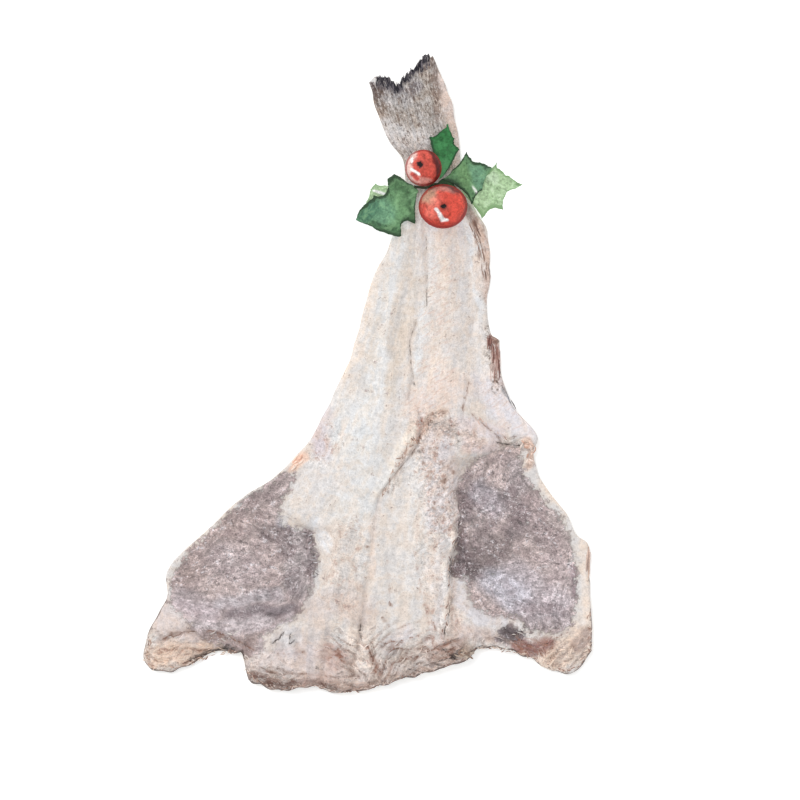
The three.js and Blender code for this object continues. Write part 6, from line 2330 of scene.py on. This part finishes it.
class COD_OT_leaves(bpy.types.Operator):
    """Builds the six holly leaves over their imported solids"""

    bl_idname = "cod.leaves"
    bl_label = "Holly leaves"

    def execute(self, context):
        settings = context.scene.cod_sprig
        materials = {}
        for coat, (_, _, edge, light) in LEAF_COATS.items():
            materials[coat] = leaf_material(coat, edge, light)
        for name, leaf in LEAVES.items():
            slot, setting, _, _ = LEAF_COATS[leaf["coat"]]
            piece = leaf_piece(name, srgb(getattr(settings, setting)))
            piece.data.materials.append(materials[leaf["coat"]])
            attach(piece, "root")
            piece.visible_shadow = False
            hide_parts(name)
        return {"FINISHED"}


class COD_OT_berries(bpy.types.Operator):
    """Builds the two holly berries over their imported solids"""

    bl_idname = "cod.berries"
    bl_label = "Holly berries"

    def execute(self, context):
        colour = srgb(context.scene.cod_sprig.berry)
        material = berry_material()
        for name in BERRIES:
            piece = berry_piece(name, colour)
            piece.data.materials.append(material)
            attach(piece, "root")
            piece.visible_shadow = False
            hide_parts(name)
        return {"FINISHED"}


class COD_OT_twig(bpy.types.Operator):
    """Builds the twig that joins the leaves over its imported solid"""

    bl_idname = "cod.twig"
    bl_label = "Holly twig"

    def execute(self, context):
        piece = twig_piece()
        piece.data.materials.append(twig_material())
        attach(piece, "root")
        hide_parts("twig")
        return {"FINISHED"}


class COD_OT_stage(bpy.types.Operator):
    """Sets the pale floor, the lights and the camera straight above the fish"""

    bl_idname = "cod.stage"
    bl_label = "Stage"

    def execute(self, context):
        settings = context.scene.cod_stage
        scene = context.scene
        scene.view_settings.view_transform = "Standard"

        corners = [(-FLOOR_HALF, -FLOOR_HALF, 0.0), (FLOOR_HALF, -FLOOR_HALF, 0.0),
                   (FLOOR_HALF, FLOOR_HALF, 0.0), (-FLOOR_HALF, FLOOR_HALF, 0.0)]
        floor = mesh_object("floor", corners, [(0, 1, 2, 3)])
        tree = Tree("floor_paper", Roughness=0.9, Specular_IOR_Level=0.1)
        fibre = tree.cloud(tree.place(300.0), 3.0, 0.6)
        tree.colour(tree.blend(fibre, *PAPER_COLOURS))
        tree.surface["Emission Color"].default_value = GLOW_COLOUR
        tree.surface["Emission Strength"].default_value = settings.glow
        floor.data.materials.append(tree.material)

        world = bpy.data.worlds.new("studio")
        world.use_nodes = True
        sky = world.node_tree.nodes["Background"]
        sky.inputs["Color"].default_value = SKY_COLOUR
        sky.inputs["Strength"].default_value = settings.sky
        scene.world = world

        lamp = bpy.data.lights.new("sun", "SUN")
        lamp.energy = settings.sun
        lamp.angle = SUN_SPREAD
        holder = bpy.data.objects.new("sun", lamp)
        holder.location = SUN_FROM
        holder.rotation_euler = (-Vector(SUN_FROM)).to_track_quat("-Z", "Y").to_euler()
        scene.collection.objects.link(holder)

        camera = bpy.data.cameras.new("camera")
        camera.lens = CAMERA_LENS
        camera.sensor_width = CAMERA_SENSOR
        holder = bpy.data.objects.new("camera", camera)
        distance = CAMERA_SPAN * CAMERA_LENS / CAMERA_SENSOR
        holder.location = (*CAMERA_AIM, SPAN_HEIGHT + distance)
        scene.collection.objects.link(holder)
        scene.camera = holder
        return {"FINISHED"}


class COD_PT_pieces(bpy.types.Panel):
    """Lists the pieces and their settings in the sidebar"""

    bl_idname = "COD_PT_pieces"
    bl_label = "Dried cod"
    bl_space_type = "VIEW_3D"
    bl_region_type = "UI"
    bl_category = "Dried cod"

    def draw(self, context):
        for group in SETTINGS:
            settings = getattr(context.scene, group)
            for name in settings.__annotations__:
                self.layout.prop(settings, name)
        for operator in OPERATORS:
            self.layout.operator(operator.bl_idname)


SETTINGS = {
    "cod_fish": CodFishSettings,
    "cod_fibres": CodFibreSettings,
    "cod_salt": CodSaltSettings,
    "cod_sprig": CodSprigSettings,
    "cod_stage": CodStageSettings,
}
OPERATORS = (
    COD_OT_fish, COD_OT_fibres, COD_OT_salt, COD_OT_leaves, COD_OT_berries, COD_OT_twig, COD_OT_stage,
)


def register():
    for group in SETTINGS.values():
        bpy.utils.register_class(group)
    for operator in OPERATORS:
        bpy.utils.register_class(operator)
    bpy.utils.register_class(COD_PT_pieces)
    for name, group in SETTINGS.items():
        setattr(bpy.types.Scene, name, PointerProperty(type=group))


def unregister():
    for name in SETTINGS:
        delattr(bpy.types.Scene, name)
    bpy.utils.unregister_class(COD_PT_pieces)
    for operator in reversed(OPERATORS):
        bpy.utils.unregister_class(operator)
    for group in reversed(tuple(SETTINGS.values())):
        bpy.utils.unregister_class(group)


def main():
    register()
    bpy.ops.cod.fish()
    bpy.ops.cod.fibres()
    bpy.ops.cod.salt()
    bpy.ops.cod.leaves()
    bpy.ops.cod.berries()
    bpy.ops.cod.twig()
    bpy.ops.cod.stage()


if __name__ == "__main__":
    main()
